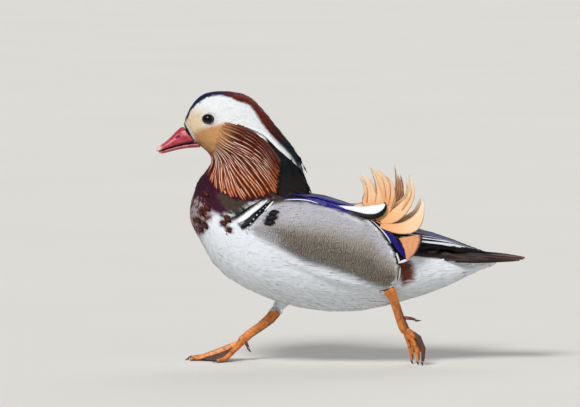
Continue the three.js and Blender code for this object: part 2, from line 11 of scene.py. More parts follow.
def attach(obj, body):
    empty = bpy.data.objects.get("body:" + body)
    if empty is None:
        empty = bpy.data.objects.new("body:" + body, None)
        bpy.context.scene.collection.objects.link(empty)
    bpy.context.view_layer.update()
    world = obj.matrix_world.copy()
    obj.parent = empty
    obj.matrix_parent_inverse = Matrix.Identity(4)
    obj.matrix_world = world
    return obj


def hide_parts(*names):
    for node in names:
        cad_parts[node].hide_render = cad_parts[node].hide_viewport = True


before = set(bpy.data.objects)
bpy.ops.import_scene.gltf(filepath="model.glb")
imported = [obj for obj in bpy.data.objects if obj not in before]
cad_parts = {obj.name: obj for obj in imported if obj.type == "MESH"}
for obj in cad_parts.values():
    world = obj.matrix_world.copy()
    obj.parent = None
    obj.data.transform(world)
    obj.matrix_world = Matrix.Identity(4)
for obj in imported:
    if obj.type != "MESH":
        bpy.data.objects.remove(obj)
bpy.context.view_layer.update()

# A drake mandarin duck in mid stride. Sizes below are in millimetres in the frame's axes:
# the bird faces -X, its left side is -Y, +Z is up and the floor is z = 0.
MM = 0.001
SIDES = {"left": -1, "right": 1}
rng = np.random.default_rng(7)

# Camera
PICTURE = (580, 407)              # the photo's size in pixels
MM_PER_PIXEL = 0.88               # at the bird's middle plane
BIRD_X_PIXEL = 341.0              # picture column of x = 0
FLOOR_PIXEL = 363.0               # picture row of the floor under the bird's middle plane
CAMERA_DISTANCE = 5000.0
CAMERA_ELEVATION = math.radians(4)
SENSOR = 36.0

# Soft studio light: name, direction it shines in, strength, width in degrees
SUNS = [
    ("key", (0.45, 0.9, -1.0), 2.5, 20),
    ("fill", (-0.9, 0.7, -0.35), 0.35, 60),
    ("rim", (-0.3, -1.0, -0.9), 0.6, 40),
]
WORLD_LIGHT = 0.36

# Coat
COAT_DEPTH = 1.3                  # how far the skin lies inside the outline of the feathers
SKIN_VOXEL = 1.6
LEG_VOXEL = 0.5
# Painted shade: the skin seen between the feathers is darkened to this share
SKIN_SHADE = 0.72                 # the skin is this much of the feathers' brightness
FATTEN = 0.25                     # closes the gaps between neighbouring solids before they are joined
PATCH = 0.003                     # width of one feather on the bake map

# Head
EYE = {"x": -115.9, "z": 215.7, "side": 13.6, "long": 5.9, "tall": 5.2, "deep": 4.6}
EYE_OPENING = 4.8                 # half height of the eye between the lids
LID_OUT = 0.25                    # from the eyeball to the middle of the lid's rim
LID_HALF_WIDTH = 0.7

# Side outlines and lines of the markings, as (x, z)
BROW = [
    (-135.3, 214.5), (-132.3, 222.5), (-126.0, 229.2), (-118.6, 234.2), (-112.5, 236.0), (-105.7, 236.6),
    (-98.9, 235.1), (-90.8, 231.7), (-83.9, 229.8), (-79.2, 227.7), (-75.2, 221.8), (-71.1, 215.0),
    (-65.6, 206.9), (-59.0, 199.5), (-50.9, 191.4), (-43.5, 183.3), (-37.8, 174.2), (-44.8, 182.0),
    (-50.2, 185.3), (-54.9, 190.7), (-61.7, 196.2), (-67.1, 200.8), (-73.7, 204.2), (-79.8, 206.9),
    (-87.3, 210.2), (-95.3, 212.3), (-102.1, 213.0), (-108.8, 212.0), (-113.7, 209.8), (-121.4, 207.7),
    (-128.5, 206.8), (-137.0, 208.6),
]
CROWN_EDGE = BROW[:17]            # the brow's upper edge, with the crown above it
CHEEK = [
    (-125.8, 206.2), (-118.8, 209.0), (-112.6, 210.8), (-104.0, 212.4), (-94.0, 211.0), (-97.0, 196.0),
    (-103.0, 184.0), (-112.6, 182.0), (-119.0, 184.0), (-126.0, 189.4), (-129.5, 195.4), (-128.4, 202.4),
]
RUFF = [
    (-104.8, 213.2), (-91.0, 211.4), (-77.0, 204.8), (-65.5, 195.0), (-56.0, 181.5), (-56.0, 170.0),
    (-59.0, 155.0), (-70.0, 149.8), (-89.0, 148.6), (-101.0, 151.0), (-108.0, 157.0), (-113.0, 165.0),
    (-114.2, 176.0), (-112.6, 190.0), (-109.6, 203.0),
]
RUFF_UPPER_EDGE = [
    (-104.8, 214.0), (-91.0, 211.4), (-77.0, 204.8), (-65.5, 195.0), (-56.0, 181.5), (-55.0, 164.0),
]
RUFF_FAN = (-117.0, 207.0)        # the ruff's long feathers spread from about here
CREST = [
    (-99.0, 252.0), (-98.4, 237.0), (-90.6, 233.4), (-82.4, 229.8), (-75.0, 222.4), (-69.4, 213.0),
    (-66.4, 206.0), (-65.5, 195.5), (-56.0, 182.0), (-55.6, 170.0), (-58.6, 152.6), (0.0, 152.6),
    (0.0, 252.0),
]
MANTLE = [
    (-110.0, 155.8), (-95.9, 156.0), (-58.1, 157.5), (-25.5, 157.5), (-9.7, 152.0), (14.0, 142.0),
    (30.0, 134.0), (44.0, 127.0), (60.0, 122.0), (52.0, 112.0), (30.0, 122.0), (4.4, 133.8), (-9.7, 139.0),
    (-31.7, 143.0), (-49.3, 143.9), (-60.7, 140.8), (-69.5, 146.1), (-81.8, 141.7), (-93.3, 133.8),
    (-101.2, 138.2), (-108.2, 147.0),
]
BREAST = [
    (-127.6, 175.0), (-117.0, 171.6), (-104.7, 159.3), (-92.4, 150.5), (-88.0, 145.2), (-95.0, 137.3),
    (-104.7, 131.1), (-112.6, 137.3), (-118.8, 143.4), (-125.0, 146.1), (-136.0, 146.1), (-134.0, 158.0),
]
MOTTLE = [
    (-137.8, 149.6), (-118.8, 147.0), (-110.0, 139.0), (-112.6, 132.0), (-117.0, 125.8), (-120.6, 117.0),
    (-124.1, 111.8), (-131.4, 113.0), (-138.6, 131.1),
]
BAR_BLACK_FRONT = [
    (-69.5, 145.2), (-66.0, 148.0), (-79.2, 140.9), (-88.0, 134.9), (-94.2, 129.0), (-96.8, 131.0),
    (-86.2, 139.2),
]
BAR_WHITE = [
    (-65.7, 146.1), (-79.9, 139.7), (-87.4, 133.5), (-91.5, 128.5), (-87.4, 126.3), (-82.5, 129.8),
    (-76.8, 136.6), (-69.4, 142.1),
]
BAR_BLACK_REAR = [
    (-62.0, 145.6), (-69.5, 140.8), (-76.6, 135.5), (-82.7, 128.5), (-88.9, 124.1), (-86.2, 121.4),
    (-80.1, 125.8), (-73.9, 132.4), (-66.0, 139.0), (-61.2, 143.4),
]
BAR_DOTTED = [(-66.0, 140.8), (-72.2, 135.5), (-79.2, 126.7), (-84.0, 118.4)]
SMALL_WHITE = [(-61.2, 144.8), (-67.3, 138.2), (-65.6, 137.1), (-59.8, 143.4)]
SHOULDER_PATCH = [
    (-55.9, 137.7), (-56.1, 130.7), (-62.0, 124.1), (-66.9, 126.7), (-66.0, 131.6), (-61.6, 136.0),
]
# Broad dark-edged feathers at the rim of the breast's white, as (x, z, half length)
BREAST_SPOTS = [
    (-118.2, 150.7, 2.2), (-117.2, 139.3, 2.6), (-122.6, 134.5, 2.2), (-125.4, 127.4, 2.2),
    (-119.3, 123.4, 2.6), (-122.6, 119.2, 2.0), (-99.4, 130.2, 2.8), (-102.6, 126.4, 2.0),
    (-98.2, 120.6, 2.0),
]
SCAPULAR_BLUE = [
    (-46.6, 150.6), (-36.1, 154.1), (-9.7, 153.2), (15.0, 144.0), (12.7, 134.0), (3.4, 134.9),
    (-9.3, 138.9), (-21.5, 141.6), (-31.7, 143.9), (-44.9, 145.6),
]
FLANK = [
    (-81.8, 120.6), (-74.8, 132.9), (-66.9, 138.6), (-60.7, 140.8), (-53.9, 142.8), (-45.8, 144.2),
    (-31.7, 143.2), (-21.6, 141.5), (-9.4, 139.5), (-1.3, 136.5), (8.8, 130.8), (16.7, 127.6), (24.5, 128.2),
    (29.7, 123.5), (36.9, 116.4), (42.8, 107.6), (47.4, 98.1), (49.4, 91.1), (49.9, 81.8), (48.6, 75.7),
    (44.9, 69.5), (37.8, 68.4), (22.0, 73.0), (10.0, 79.0), (-13.3, 87.0), (-33.7, 92.6), (-57.2, 106.0),
    (-74.8, 114.0),
]
FLANK_REAR_EDGE = FLANK[11:21]
SPECULUM = [
    (24.5, 129.0), (36.0, 127.0), (50.0, 112.0), (58.5, 93.0), (50.0, 82.0), (46.0, 100.0), (34.0, 118.0),
]
VENT_SPOT = [(50.5, 94.3), (60.6, 93.4), (65.2, 84.6), (62.6, 75.7), (53.7, 71.0), (49.3, 80.8)]
RUMP = [
    (45.0, 130.0), (60.0, 126.0), (135.0, 101.0), (135.0, 93.0), (104.0, 93.6), (80.0, 98.6), (62.0, 99.5),
    (52.0, 104.0),
]
WING_LINE = [(-10, 137), (25, 127), (50, 104)]            # lower edge of the wing above the flank
BACK_LINE = [(-60, 138), (0, 134), (60, 112), (140, 96)]  # lower edge of the back's feathers
FLANK_LOW = [(-81, 119), (-57, 101), (-33, 88), (-13, 83), (10, 75), (38, 66), (50, 74)]
FLANK_HIGH = [(-81, 121), (-60, 141), (-31, 143), (-9, 139.5), (25, 128), (50, 91)]
BILL_EDGE = {"x": -136.8, "z": 208.8, "slope": 0.525}     # where the face meets the bill, at its top
TAIL = [(84.0, 100.0), (165.0, 96.0), (165.0, 90.6), (110.0, 91.4), (90.0, 93.0)]

# Plumage colours, sRGB
WHITE = "EAEEF3"
BROW_WHITE = "F4F5F6"
CREAM = "EED7AE"
BUFF = "CF9A68"
FOREHEAD = "171A42"
MAROON_CROWN = "6C2112"
DARK_CROWN = "451109"
CREST_BLACK = "070B10"
CREST_GREEN = "0A1A1E"
CHESTNUT = "8A3216"
RUST = "8E3A18"
RUFF_TIP = "E0712A"
BREAST_MAROON = "3A1228"
THROAT_RUST = "A04A1E"
MOTTLE_BROWN = "5C2416"
SPOT_BROWN = "5C2A18"
SPOT_EDGE = "160A0C"
MANTLE_BROWN = "463A32"
NEARLY_BLACK = "060608"
BLUE = "20187E"
FLANK_SILVER = "BEBCC2"
FLANK_TAN = "A69E95"
FLANK_OLIVE = "7F776C"
FLANK_SLATE = "7A777B"
SHADED_BELLY_GREY = "D6DBE0"
VENT_BROWN = "5E3222"
TAIL_BROWN = "44352F"
LEG_ORANGE = "F68A26"
LEG_DARK = "3A2428"
WING_DARK = "1B1A22"
MOTTLE_PALE = "A89AA0"
SPOT_HALO = "4A1A1E"
DOTTED_LINE = "C9D2EA"
PATCH_DARK = "1E1418"
NAPE_DARK = "1C1512"
SAIL_ROOT = "F2B078"
SAIL_MIDDLE = "FCD8AE"
SAIL_STREAK = "EFAA70"
SAIL_EDGE = "DE9258"
SAIL_TIP = "FFF0D8"
LOW_FLAME = "E6A478"
LOW_FLAME_STREAK = "DD9666"
LOW_FLAME_VIOLET = "1C1A44"
SAIL_INNER = "9A4A26"
PRIMARY_BLACK = "08080C"
PRIMARY_GREY = "16161F"
PRIMARY_VIOLET = "45459A"
PRIMARY_BROWN = "3A3230"
PRIMARY_SILVER = "E8EAF0"
TAIL_ROOT = "2A201E"
TAIL_WARM = "54382E"
TAIL_TIP = "A87C6A"
TAIL_EDGE = "7A6256"
RIM_PALE = "F2C9A0"
RIM_ORANGE = "E07A38"
DOT_BLUE = "C4CEE8"
LEG_LIT_ORANGE = "F79A3E"
LEG_RUST = "B8551E"
LID_DARK = "141010"
RUFF_BUFF = "CF9560"
RUFF_EDGE = "581A0C"
SHAFT_PALE = "FFEBD6"
HACKLE_EDGE = "240A05"
FLANK_BARS = "2E261E"


# Colour and geometry helpers

def linear(code):
    """The linear colour of a six-digit sRGB hex code."""
    channels = [int(code[i:i + 2], 16) / 255 for i in (0, 2, 4)]
    return np.array([c / 12.92 if c <= 0.04045 else ((c + 0.055) / 1.055) ** 2.4 for c in channels])


def rgba(code):
    return (*linear(code), 1.0)


def smoothstep(low, high, value):
    t = np.clip((value - low) / (high - low), 0, 1)
    return t * t * (3 - 2 * t)


def unit(vectors):
    return vectors / (np.linalg.norm(vectors, axis=-1, keepdims=True) + 1e-9)


def mix(colour_a, colour_b, share):
    share = np.asarray(share)[..., None]
    return colour_a * (1 - share) + colour_b * share


def distance_to_line(x, z, line):
    """How far points are from a side line, and how far along it the nearest place is, from 0 to 1."""
    best = np.full(x.shape, 1e9)
    along = np.zeros(x.shape)
    spans = len(line) - 1
    for i in range(spans):
        (ax, az), (bx, bz) = line[i], line[i + 1]
        dx, dz = bx - ax, bz - az
        t = np.clip(((x - ax) * dx + (z - az) * dz) / (dx * dx + dz * dz), 0, 1)
        gap = np.hypot(x - ax - t * dx, z - az - t * dz)
        nearer = gap < best
        best = np.where(nearer, gap, best)
        along = np.where(nearer, (i + t) / spans, along)
    return best, along


def height_on(line, x):
    """The height of a side line at places along the bird."""
    line_x, line_z = np.array(line, dtype=float).T
    return np.interp(x, line_x, line_z)


def depth_inside(x, z, outline):
    """How far points are inside a side outline, negative outside it."""
    inside = np.zeros(x.shape, dtype=bool)
    for (ax, az), (bx, bz) in zip(outline, outline[1:] + outline[:1]):
        if az == bz:
            continue
        crosses = (az > z) != (bz > z)
        inside ^= crosses & (x < (bx - ax) * (z - az) / (bz - az) + ax)
    gap, _ = distance_to_line(x, z, outline + outline[:1])
    return np.where(inside, gap, -gap)


def curve_rows(rows, count):
    """A smooth curve through rows of numbers, sampled evenly in rows."""
    rows = np.asarray(rows, dtype=float)
    places = np.linspace(0, len(rows) - 1, count)
    i = np.minimum(places.astype(int), len(rows) - 2)
    t = (places - i)[:, None]
    before = rows[np.maximum(i - 1, 0)]
    after = rows[np.minimum(i + 2, len(rows) - 1)]
    a, b = rows[i], rows[i + 1]
    slope_a, slope_b = (b - before) / 2, (after - a) / 2
    return ((2 * t**3 - 3 * t**2 + 1) * a + (t**3 - 2 * t**2 + t) * slope_a
            + (3 * t**2 - 2 * t**3) * b + (t**3 - t**2) * slope_b)


# Mesh helpers

def new_object(name, mesh):
    made = bpy.data.objects.new(name, mesh)
    bpy.context.scene.collection.objects.link(made)
    return made


def mesh_from(name, points, faces, tint=None, vane=None, bake=None):
    """A smooth mesh from points in millimetres and quads, with colours and maps given at the points."""
    mesh = bpy.data.meshes.new(name)
    faces = np.asarray(faces, dtype=np.int32)
    mesh.vertices.add(len(points))
    mesh.vertices.foreach_set("co", (np.asarray(points) * MM).astype(np.float32).ravel())
    mesh.loops.add(faces.size)
    mesh.loops.foreach_set("vertex_index", faces.ravel())
    mesh.polygons.add(len(faces))
    mesh.polygons.foreach_set("loop_start", np.arange(len(faces), dtype=np.int32) * faces.shape[1])
    mesh.polygons.foreach_set("use_smooth", np.ones(len(faces), dtype=bool))
    mesh.update(calc_edges=True)
    mesh.validate()
    if tint is not None:
        set_tint(mesh, tint)
    for layer, values in (("Vane", vane), ("OFBake", bake)):
        if values is not None:
            made = mesh.uv_layers.new(name=layer)
            made.data.foreach_set("uv", np.asarray(values)[faces.ravel()].astype(np.float32).ravel())
    return mesh


def set_tint(mesh, colours):
    """Stores linear colours at the points as the attribute that the materials read."""
    layer = mesh.color_attributes.new("tint", "FLOAT_COLOR", "POINT")
    full = np.ones((len(mesh.vertices), 4), dtype=np.float32)
    full[:, :3] = colours
    layer.data.foreach_set("color", full.ravel())


def points_of(mesh):
    points = np.empty(len(mesh.vertices) * 3, dtype=np.float32)
    mesh.vertices.foreach_get("co", points)
    return points.reshape(-1, 3).astype(float) / MM


def normals_of(mesh):
    normals = np.empty(len(mesh.vertices) * 3, dtype=np.float32)
    mesh.vertex_normals.foreach_get("vector", normals)
    return normals.reshape(-1, 3).astype(float)


def store_points(mesh, points):
    mesh.vertices.foreach_set("co", (points * MM).astype(np.float32).ravel())
    mesh.update()


def remeshed_nodes(name, nodes, voxel, smoothing, fatten=FATTEN, shrink=0.0):
    """One smooth closed mesh around CAD nodes, set back inside them by an amount."""
    builder = bmesh.new()
    for node_name in nodes:
        start = len(builder.verts)
        builder.from_mesh(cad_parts[node_name].data)
        builder.verts.ensure_lookup_table()
        fresh = builder.verts[start:]
        bmesh.ops.remove_doubles(builder, verts=fresh, dist=1e-6)
    builder.normal_update()
    for vertex in builder.verts:
        vertex.co += vertex.normal * fatten * MM
    mesh = bpy.data.meshes.new(name)
    builder.to_mesh(mesh)
    builder.free()
    source = new_object(name, mesh)
    remesh = source.modifiers.new("join", "REMESH")
    remesh.mode = "VOXEL"
    remesh.voxel_size = voxel * MM
    soften = source.modifiers.new("soften", "SMOOTH")
    soften.iterations = smoothing
    soften.factor = 0.5
    graph = bpy.context.evaluated_depsgraph_get()
    finished = bpy.data.meshes.new_from_object(source.evaluated_get(graph))
    bpy.data.objects.remove(source)
    bpy.data.meshes.remove(mesh)
    finished.name = name
    store_points(finished, points_of(finished) - normals_of(finished) * (fatten + shrink))
    finished.polygons.foreach_set("use_smooth", np.ones(len(finished.polygons), dtype=bool))
    return finished


def finish_piece(name, mesh, material, replaced=()):
    """Puts a finished mesh in the scene as a piece of the bird."""
    piece = new_object(name, mesh)
    if not mesh.materials:
        mesh.materials.append(material)
    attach(piece, "root")
    if replaced:
        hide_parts(*replaced)
    return piece


# Material helpers

def add_node(tree, kind, inputs=None, **settings):
    """Adds one node, sets its options, and links or sets its inputs, given by name or by number."""
    made = tree.nodes.new(kind)
    for name, value in settings.items():
        setattr(made, name, value)
    for key, value in (inputs or {}).items():
        if isinstance(value, bpy.types.NodeSocket):
            tree.links.new(value, made.inputs[key])
        else:
            made.inputs[key].default_value = value
    return made


def new_material(name, **sockets):
    """A material with one principled shader; uniform values are set on the shader's own sockets."""
    material = bpy.data.materials.new(name)
    material.use_nodes = True
    tree = material.node_tree
    shader = tree.nodes["Principled BSDF"]
    for key, value in sockets.items():
        shader.inputs[key.replace("_", " ")].default_value = value
    return material, tree, shader


def ramp(tree, value, stops):
    """A colour ramp node's colour over (place, hex code) stops."""
    made = add_node(tree, "ShaderNodeValToRGB", {"Fac": value})
    band = made.color_ramp
    while len(band.elements) < len(stops):
        band.elements.new(0.5)
    for element, (place, code) in zip(band.elements, stops):
        element.position = place
        element.color = rgba(code)
    return made.outputs["Color"]


def math_of(tree, operation, *values):
    """The result of a math node."""
    return add_node(tree, "ShaderNodeMath", dict(enumerate(values)), operation=operation).outputs[0]


def mixed(tree, share, a, b, blend="MIX"):
    """The colour of a mix node; its colour sockets are numbers 6 and 7."""
    colours = {0: share, 6: a, 7: b}
    return add_node(tree, "ShaderNodeMix", colours, data_type="RGBA", blend_type=blend).outputs[2]


def vane_parts(tree):
    """Across-the-vane distance from the shaft (0 to 1) and distance along it, from the Vane map."""
    vane = add_node(tree, "ShaderNodeUVMap", uv_map="Vane")
    parts = add_node(tree, "ShaderNodeSeparateXYZ", {"Vector": vane.outputs["UV"]})
    off_shaft = math_of(tree, "ABSOLUTE", math_of(tree, "MULTIPLY_ADD", parts.outputs["X"], 2.0, -1.0))
    return off_shaft, parts.outputs["Y"]


def barb_lines(tree, off_shaft, along, count, slant):
    """Fine slanting barbs: a wave from 0 to 1 that runs out from the shaft towards the tip."""
    phase = math_of(tree, "MULTIPLY_ADD", off_shaft, -slant, along)
    wave = math_of(tree, "SINE", math_of(tree, "MULTIPLY", phase, count * 2 * math.pi))
    return math_of(tree, "MULTIPLY_ADD", wave, 0.5, 0.5)


HORN_IOR = 1.54                   # of keratin, in feathers, bill and claws


def feather_material(name, barbs, slant=0.12, contrast=0.12, shaft=None, shaft_width=0.12, bump=0.25,
                     rough=0.75, sheen=0.02, specular=0.12, vermiculation=0.0, edge=None, edge_power=5.0):
    """Feather vanes of keratin barbs: matt, softly sheened, ribbed by the barbs and coloured by the tint."""
    material, tree, shader = new_material(
        name, Roughness=rough, Sheen_Weight=sheen, Sheen_Roughness=0.45, Specular_IOR_Level=specular,
        IOR=HORN_IOR)
    tint = add_node(tree, "ShaderNodeAttribute", attribute_name="tint").outputs["Color"]
    off_shaft, along = vane_parts(tree)
    lines = barb_lines(tree, off_shaft, along, barbs, slant)
    colour = mixed(tree, math_of(tree, "MULTIPLY", lines, contrast), tint, (0, 0, 0, 1))
    if vermiculation:
        place = add_node(tree, "ShaderNodeTexCoord").outputs["Object"]
        warp = add_node(tree, "ShaderNodeTexNoise", {"Vector": place, "Scale": 260.0, "Detail": 2.0})
        strength = add_node(tree, "ShaderNodeAttribute", attribute_name="barring").outputs["Fac"]
        phase = math_of(tree, "MULTIPLY_ADD", warp.outputs["Fac"], 0.34, along)
        bars = math_of(tree, "SINE", math_of(tree, "MULTIPLY", phase, vermiculation * 2 * math.pi))
        bars = math_of(tree, "MULTIPLY", math_of(tree, "MULTIPLY_ADD", bars, 0.5, 0.5), strength)
        colour = mixed(tree, bars, colour, rgba(FLANK_BARS))
    if edge:
        rim = math_of(tree, "POWER", off_shaft, edge_power)
        colour = mixed(tree, math_of(tree, "MULTIPLY", rim, 0.7), colour, rgba(edge))
    if shaft:
        core = math_of(tree, "SUBTRACT", 1.0, math_of(tree, "DIVIDE", off_shaft, shaft_width))
        core = math_of(tree, "MAXIMUM", core, 0.0)
        fade = math_of(tree, "SUBTRACT", 1.0, math_of(tree, "POWER", along, 3.0))
        pale = add_node(tree, "ShaderNodeAttribute", attribute_name="paleness").outputs["Fac"]
        fade = math_of(tree, "MULTIPLY", fade, pale)
        colour = mixed(tree, math_of(tree, "MULTIPLY", core, fade), colour, rgba(shaft))
    tree.links.new(colour, shader.inputs["Base Color"])
    relief = add_node(tree, "ShaderNodeBump", {"Strength": bump, "Distance": 0.0003, "Height": lines})
    tree.links.new(relief.outputs["Normal"], shader.inputs["Normal"])
    return material


# Stage, light and camera

def make_stage():
    """A wide pale floor under soft studio light."""
    half = 30000.0
    corners = [(-half, -half, 0), (half, -half, 0), (half, half, 0), (-half, half, 0)]
    floor = new_object("floor", mesh_from("floor", corners, [(0, 1, 2, 3)]))
    material, tree, shader = new_material("pale_studio_floor", Roughness=0.9)
    place = add_node(tree, "ShaderNodeTexCoord").outputs["Object"]
    cloud = add_node(tree, "ShaderNodeTexNoise", {"Vector": place, "Scale": 3.0, "Detail": 3.0})
    tree.links.new(ramp(tree, cloud.outputs["Fac"], [(0.3, "DBD8D2"), (0.7, "DDDAD4")]),
                   shader.inputs["Base Color"])
    floor.data.materials.append(material)
    bpy.context.scene.view_settings.view_transform = "Standard"
    world = bpy.data.worlds.new("studio")
    bpy.context.scene.world = world
    world.use_nodes = True
    world.node_tree.nodes["Background"].inputs["Color"].default_value = rgba("E6EAEE")
    world.node_tree.nodes["Background"].inputs["Strength"].default_value = WORLD_LIGHT
    for name, towards, strength, softness in SUNS:
        lamp = bpy.data.lights.new(name, "SUN")
        lamp.energy = strength
        lamp.angle = math.radians(softness)
        holder = bpy.data.objects.new(name, lamp)
        bpy.context.scene.collection.objects.link(holder)
        holder.rotation_euler = Vector(towards).to_track_quat("-Z", "Y").to_euler()


def make_camera():
    """The photo's view: square on to the bird's left side, from far off and a little above."""
    lens = bpy.data.cameras.new("camera")
    lens.sensor_width = SENSOR
    lens.lens = SENSOR * CAMERA_DISTANCE / (PICTURE[0] * MM_PER_PIXEL)
    lens.clip_end = 100
    camera = bpy.data.objects.new("camera", lens)
    bpy.context.scene.collection.objects.link(camera)
    bpy.context.scene.camera = camera
    aim = Vector((
        (PICTURE[0] / 2 - BIRD_X_PIXEL) * MM_PER_PIXEL, 0,
        (FLOOR_PIXEL - PICTURE[1] / 2) * MM_PER_PIXEL / math.cos(CAMERA_ELEVATION)))
    back = Vector((0, -math.cos(CAMERA_ELEVATION), math.sin(CAMERA_ELEVATION)))
    camera.location = (aim + back * CAMERA_DISTANCE) * MM
    camera.rotation_euler = (-back).to_track_quat("-Z", "Y").to_euler()


# Markings

def painted(base, code, share):
    return mix(base, linear(code), share)


def body_colours(points, jitter):
    """The markings of trunk, wings and tail at points, with each feather's place jittered a little."""
    x, y, z = (points + jitter).T
    soft = 0.9
    colours = np.tile(linear(WHITE), (len(points), 1))
    # Painted shade: the belly turns grey towards its underside
    colours = painted(colours, SHADED_BELLY_GREY, 0.6 * smoothstep(90, 50, z))
    above_flank = smoothstep(0, 2, z - height_on(WING_LINE, x))
    colours = painted(colours, FLANK_SILVER, above_flank * smoothstep(-62, -56, x) * smoothstep(64, 58, x))

    def paint(outline, code, edge=soft, most=1.0):
        nonlocal colours
        share = most * smoothstep(-edge, edge, depth_inside(x, z, outline))
        colours = painted(colours, code, share)

    # Breast: brown mottles on a pale ground, the maroon above them, and the separate spots
    paint(MOTTLE, MOTTLE_PALE, 3.0)
    noise = np.sin(x * 0.7 + 2.0 * np.sin(z * 0.35)) * np.sin(z * 0.62 + y * 0.3)
    mottled = smoothstep(-2.0, 1.5, depth_inside(x, z, MOTTLE))
    colours = painted(colours, MOTTLE_BROWN, mottled * smoothstep(-0.2, 0.1, noise))
    paint(BREAST, BREAST_MAROON, 2.2)
    paint(MANTLE, MANTLE_BROWN, 1.5)
    front = (x < -100).astype(float)
    on_top = smoothstep(6, 0, np.abs(y)) * front * smoothstep(112, 122, z)
    colours = painted(colours, BREAST_MAROON, 0.6 * on_top)
    for spot_x, spot_z, _ in BREAST_SPOTS:
        gap = np.hypot(x - spot_x, z - spot_z)
        colours = painted(colours, SPOT_HALO, smoothstep(4.2, 2.4, gap))
    # Shoulder bars, and the pale dotted line behind them
    paint(BAR_BLACK_FRONT, NEARLY_BLACK)
    paint(BAR_WHITE, BROW_WHITE)
    paint(BAR_BLACK_REAR, NEARLY_BLACK)
    gap, along = distance_to_line(x, z, BAR_DOTTED)
    dots = smoothstep(-0.3, 0.4, np.sin(along * 26))
    colours = painted(colours, DOTTED_LINE, smoothstep(1.3, 0.7, gap) * (0.45 + 0.55 * dots))
    # Flank: silver at its top and front, olive in the middle and slate at its lower edge
    flank = smoothstep(-3.0, 4.5, depth_inside(x, z, FLANK)) * smoothstep(16, 22, np.abs(y))
    height = flank_height(x, z)
    grey = mix(linear(FLANK_SLATE), linear(FLANK_OLIVE), smoothstep(0.02, 0.26, height + 0.002 * x))
    grey = mix(linear(FLANK_SILVER), grey, smoothstep(-66, -42, x + 0.25 * (z - 100)))
    grey = mix(grey, linear(FLANK_TAN), smoothstep(0.36, 0.62, height + 0.001 * x))
    grey = mix(grey, linear(FLANK_SILVER), smoothstep(0.55, 0.86, height - 0.001 * x))
    colours = mix(colours, grey, flank)
    # What lies over the flank's front end: the rear bar once more, and the marks beside it
    paint(BAR_BLACK_REAR, NEARLY_BLACK, soft, 0.9)
    paint(SMALL_WHITE, BROW_WHITE)
    paint(SHOULDER_PATCH, PATCH_DARK, 1.2)
    blue = smoothstep(-soft, soft, depth_inside(x, z, SCAPULAR_BLUE)) * smoothstep(5, 9, np.abs(y))
    colours = painted(colours, BLUE, blue)
    # White edge of the flank, then the dark parts behind it
    behind = smoothstep(20, 24, x) * (np.abs(y) > 14) * (depth_inside(x, z, FLANK) > -0.2)
    gap, _ = distance_to_line(x, z, FLANK_REAR_EDGE)
    colours = painted(colours, BROW_WHITE, behind * smoothstep(2.3, 1.6, gap))
    paint(SPECULUM, NEARLY_BLACK)
    paint(VENT_SPOT, VENT_BROWN, 3.0)
    paint(RUMP, WING_DARK)
    tail = smoothstep(-0.5, 0.5, depth_inside(x, z, TAIL)) * (z > 90.2)
    return painted(colours, TAIL_BROWN, tail)


def head_colours(points, jitter):
    """The markings of head, crest and neck at points."""
    x, y, z = (points + jitter).T
    side = np.abs(y)
    colours = np.tile(linear(BROW_WHITE), (len(points), 1))
    face = smoothstep(-112, -126, x) * smoothstep(230, 216, z)
    colours = painted(colours, CREAM, 0.9 * face)
    colours = painted(colours, BUFF, smoothstep(-3.5, 3.5, depth_inside(x, z, CHEEK)))
    # Crown: blue-black forehead, maroon over the top, green-black towards the crest's end
    above = crown_share(x, y, z)
    crown = mix(linear(FOREHEAD), linear(MAROON_CROWN), smoothstep(-109, -90, x + 2.5 * np.sin(1.3 * y)))
    crown = mix(crown, linear(DARK_CROWN), smoothstep(-70, -56, x))
    crown = mix(crown, linear(CREST_GREEN), smoothstep(-58, -46, x))
    colours = mix(colours, crown, above)
    gap, _ = distance_to_line(x, z, CROWN_EDGE)
    colours = painted(colours, CREST_BLACK, 0.4 * smoothstep(1.3, 0.6, gap) * (x > -96))
    # Dark crest below the brow, dark nape, rusty throat and maroon neck
    behind_ruff = smoothstep(-1.0, 1.0, depth_inside(x, z, CREST)) * (1 - above)
    in_brow = smoothstep(-0.6, 0.6, depth_inside(x, z, BROW))
    dark = mix(linear(CREST_BLACK), linear(DARK_CROWN), smoothstep(196, 206, z) * 0.6)
    colours = mix(colours, dark, behind_ruff * (1 - in_brow))
    throat = smoothstep(190, 183, z) * (1 - smoothstep(-1, 1, depth_inside(x, z, CREST)))
    nape = smoothstep(-60, -57, x) * smoothstep(172, 158, z)
    colours = painted(colours, NAPE_DARK, nape)
    throat = throat * (1 - nape)
    colours = painted(colours, THROAT_RUST, throat)
    colours = painted(colours, BREAST_MAROON, smoothstep(176, 168, z + 3.0 * np.sin(y * 0.5)) * throat)
    # Black line round the bill's base with a white one beside it
    from_bill = x - (BILL_EDGE["x"] + (BILL_EDGE["z"] - z) * BILL_EDGE["slope"])
    near_bill = smoothstep(190, 192, z) * smoothstep(213, 210, z) * (side > 2)
    colours = painted(colours, BROW_WHITE, near_bill * smoothstep(3.2, 2.2, from_bill))
    return painted(colours, NEARLY_BLACK, near_bill * smoothstep(1.3, 0.7, from_bill))


def ruff_colours(points, jitter):
    """Buff at the cheek, then chestnut hackles that darken towards the ruff's upper and rear edge."""
    px, _, pz = (points + jitter).T
    reach = np.hypot(px - RUFF_FAN[0], pz - RUFF_FAN[1])
    tint = mix(linear(RUFF_BUFF), linear(CHESTNUT), smoothstep(12, 30, reach))
    tint = mix(tint, linear(RUST), smoothstep(30, 55, reach))
    from_edge, _ = distance_to_line(px, pz, RUFF_UPPER_EDGE)
    return mix(tint, linear(RUFF_EDGE), 0.8 * smoothstep(16, 3, from_edge) * smoothstep(12, 40, reach))


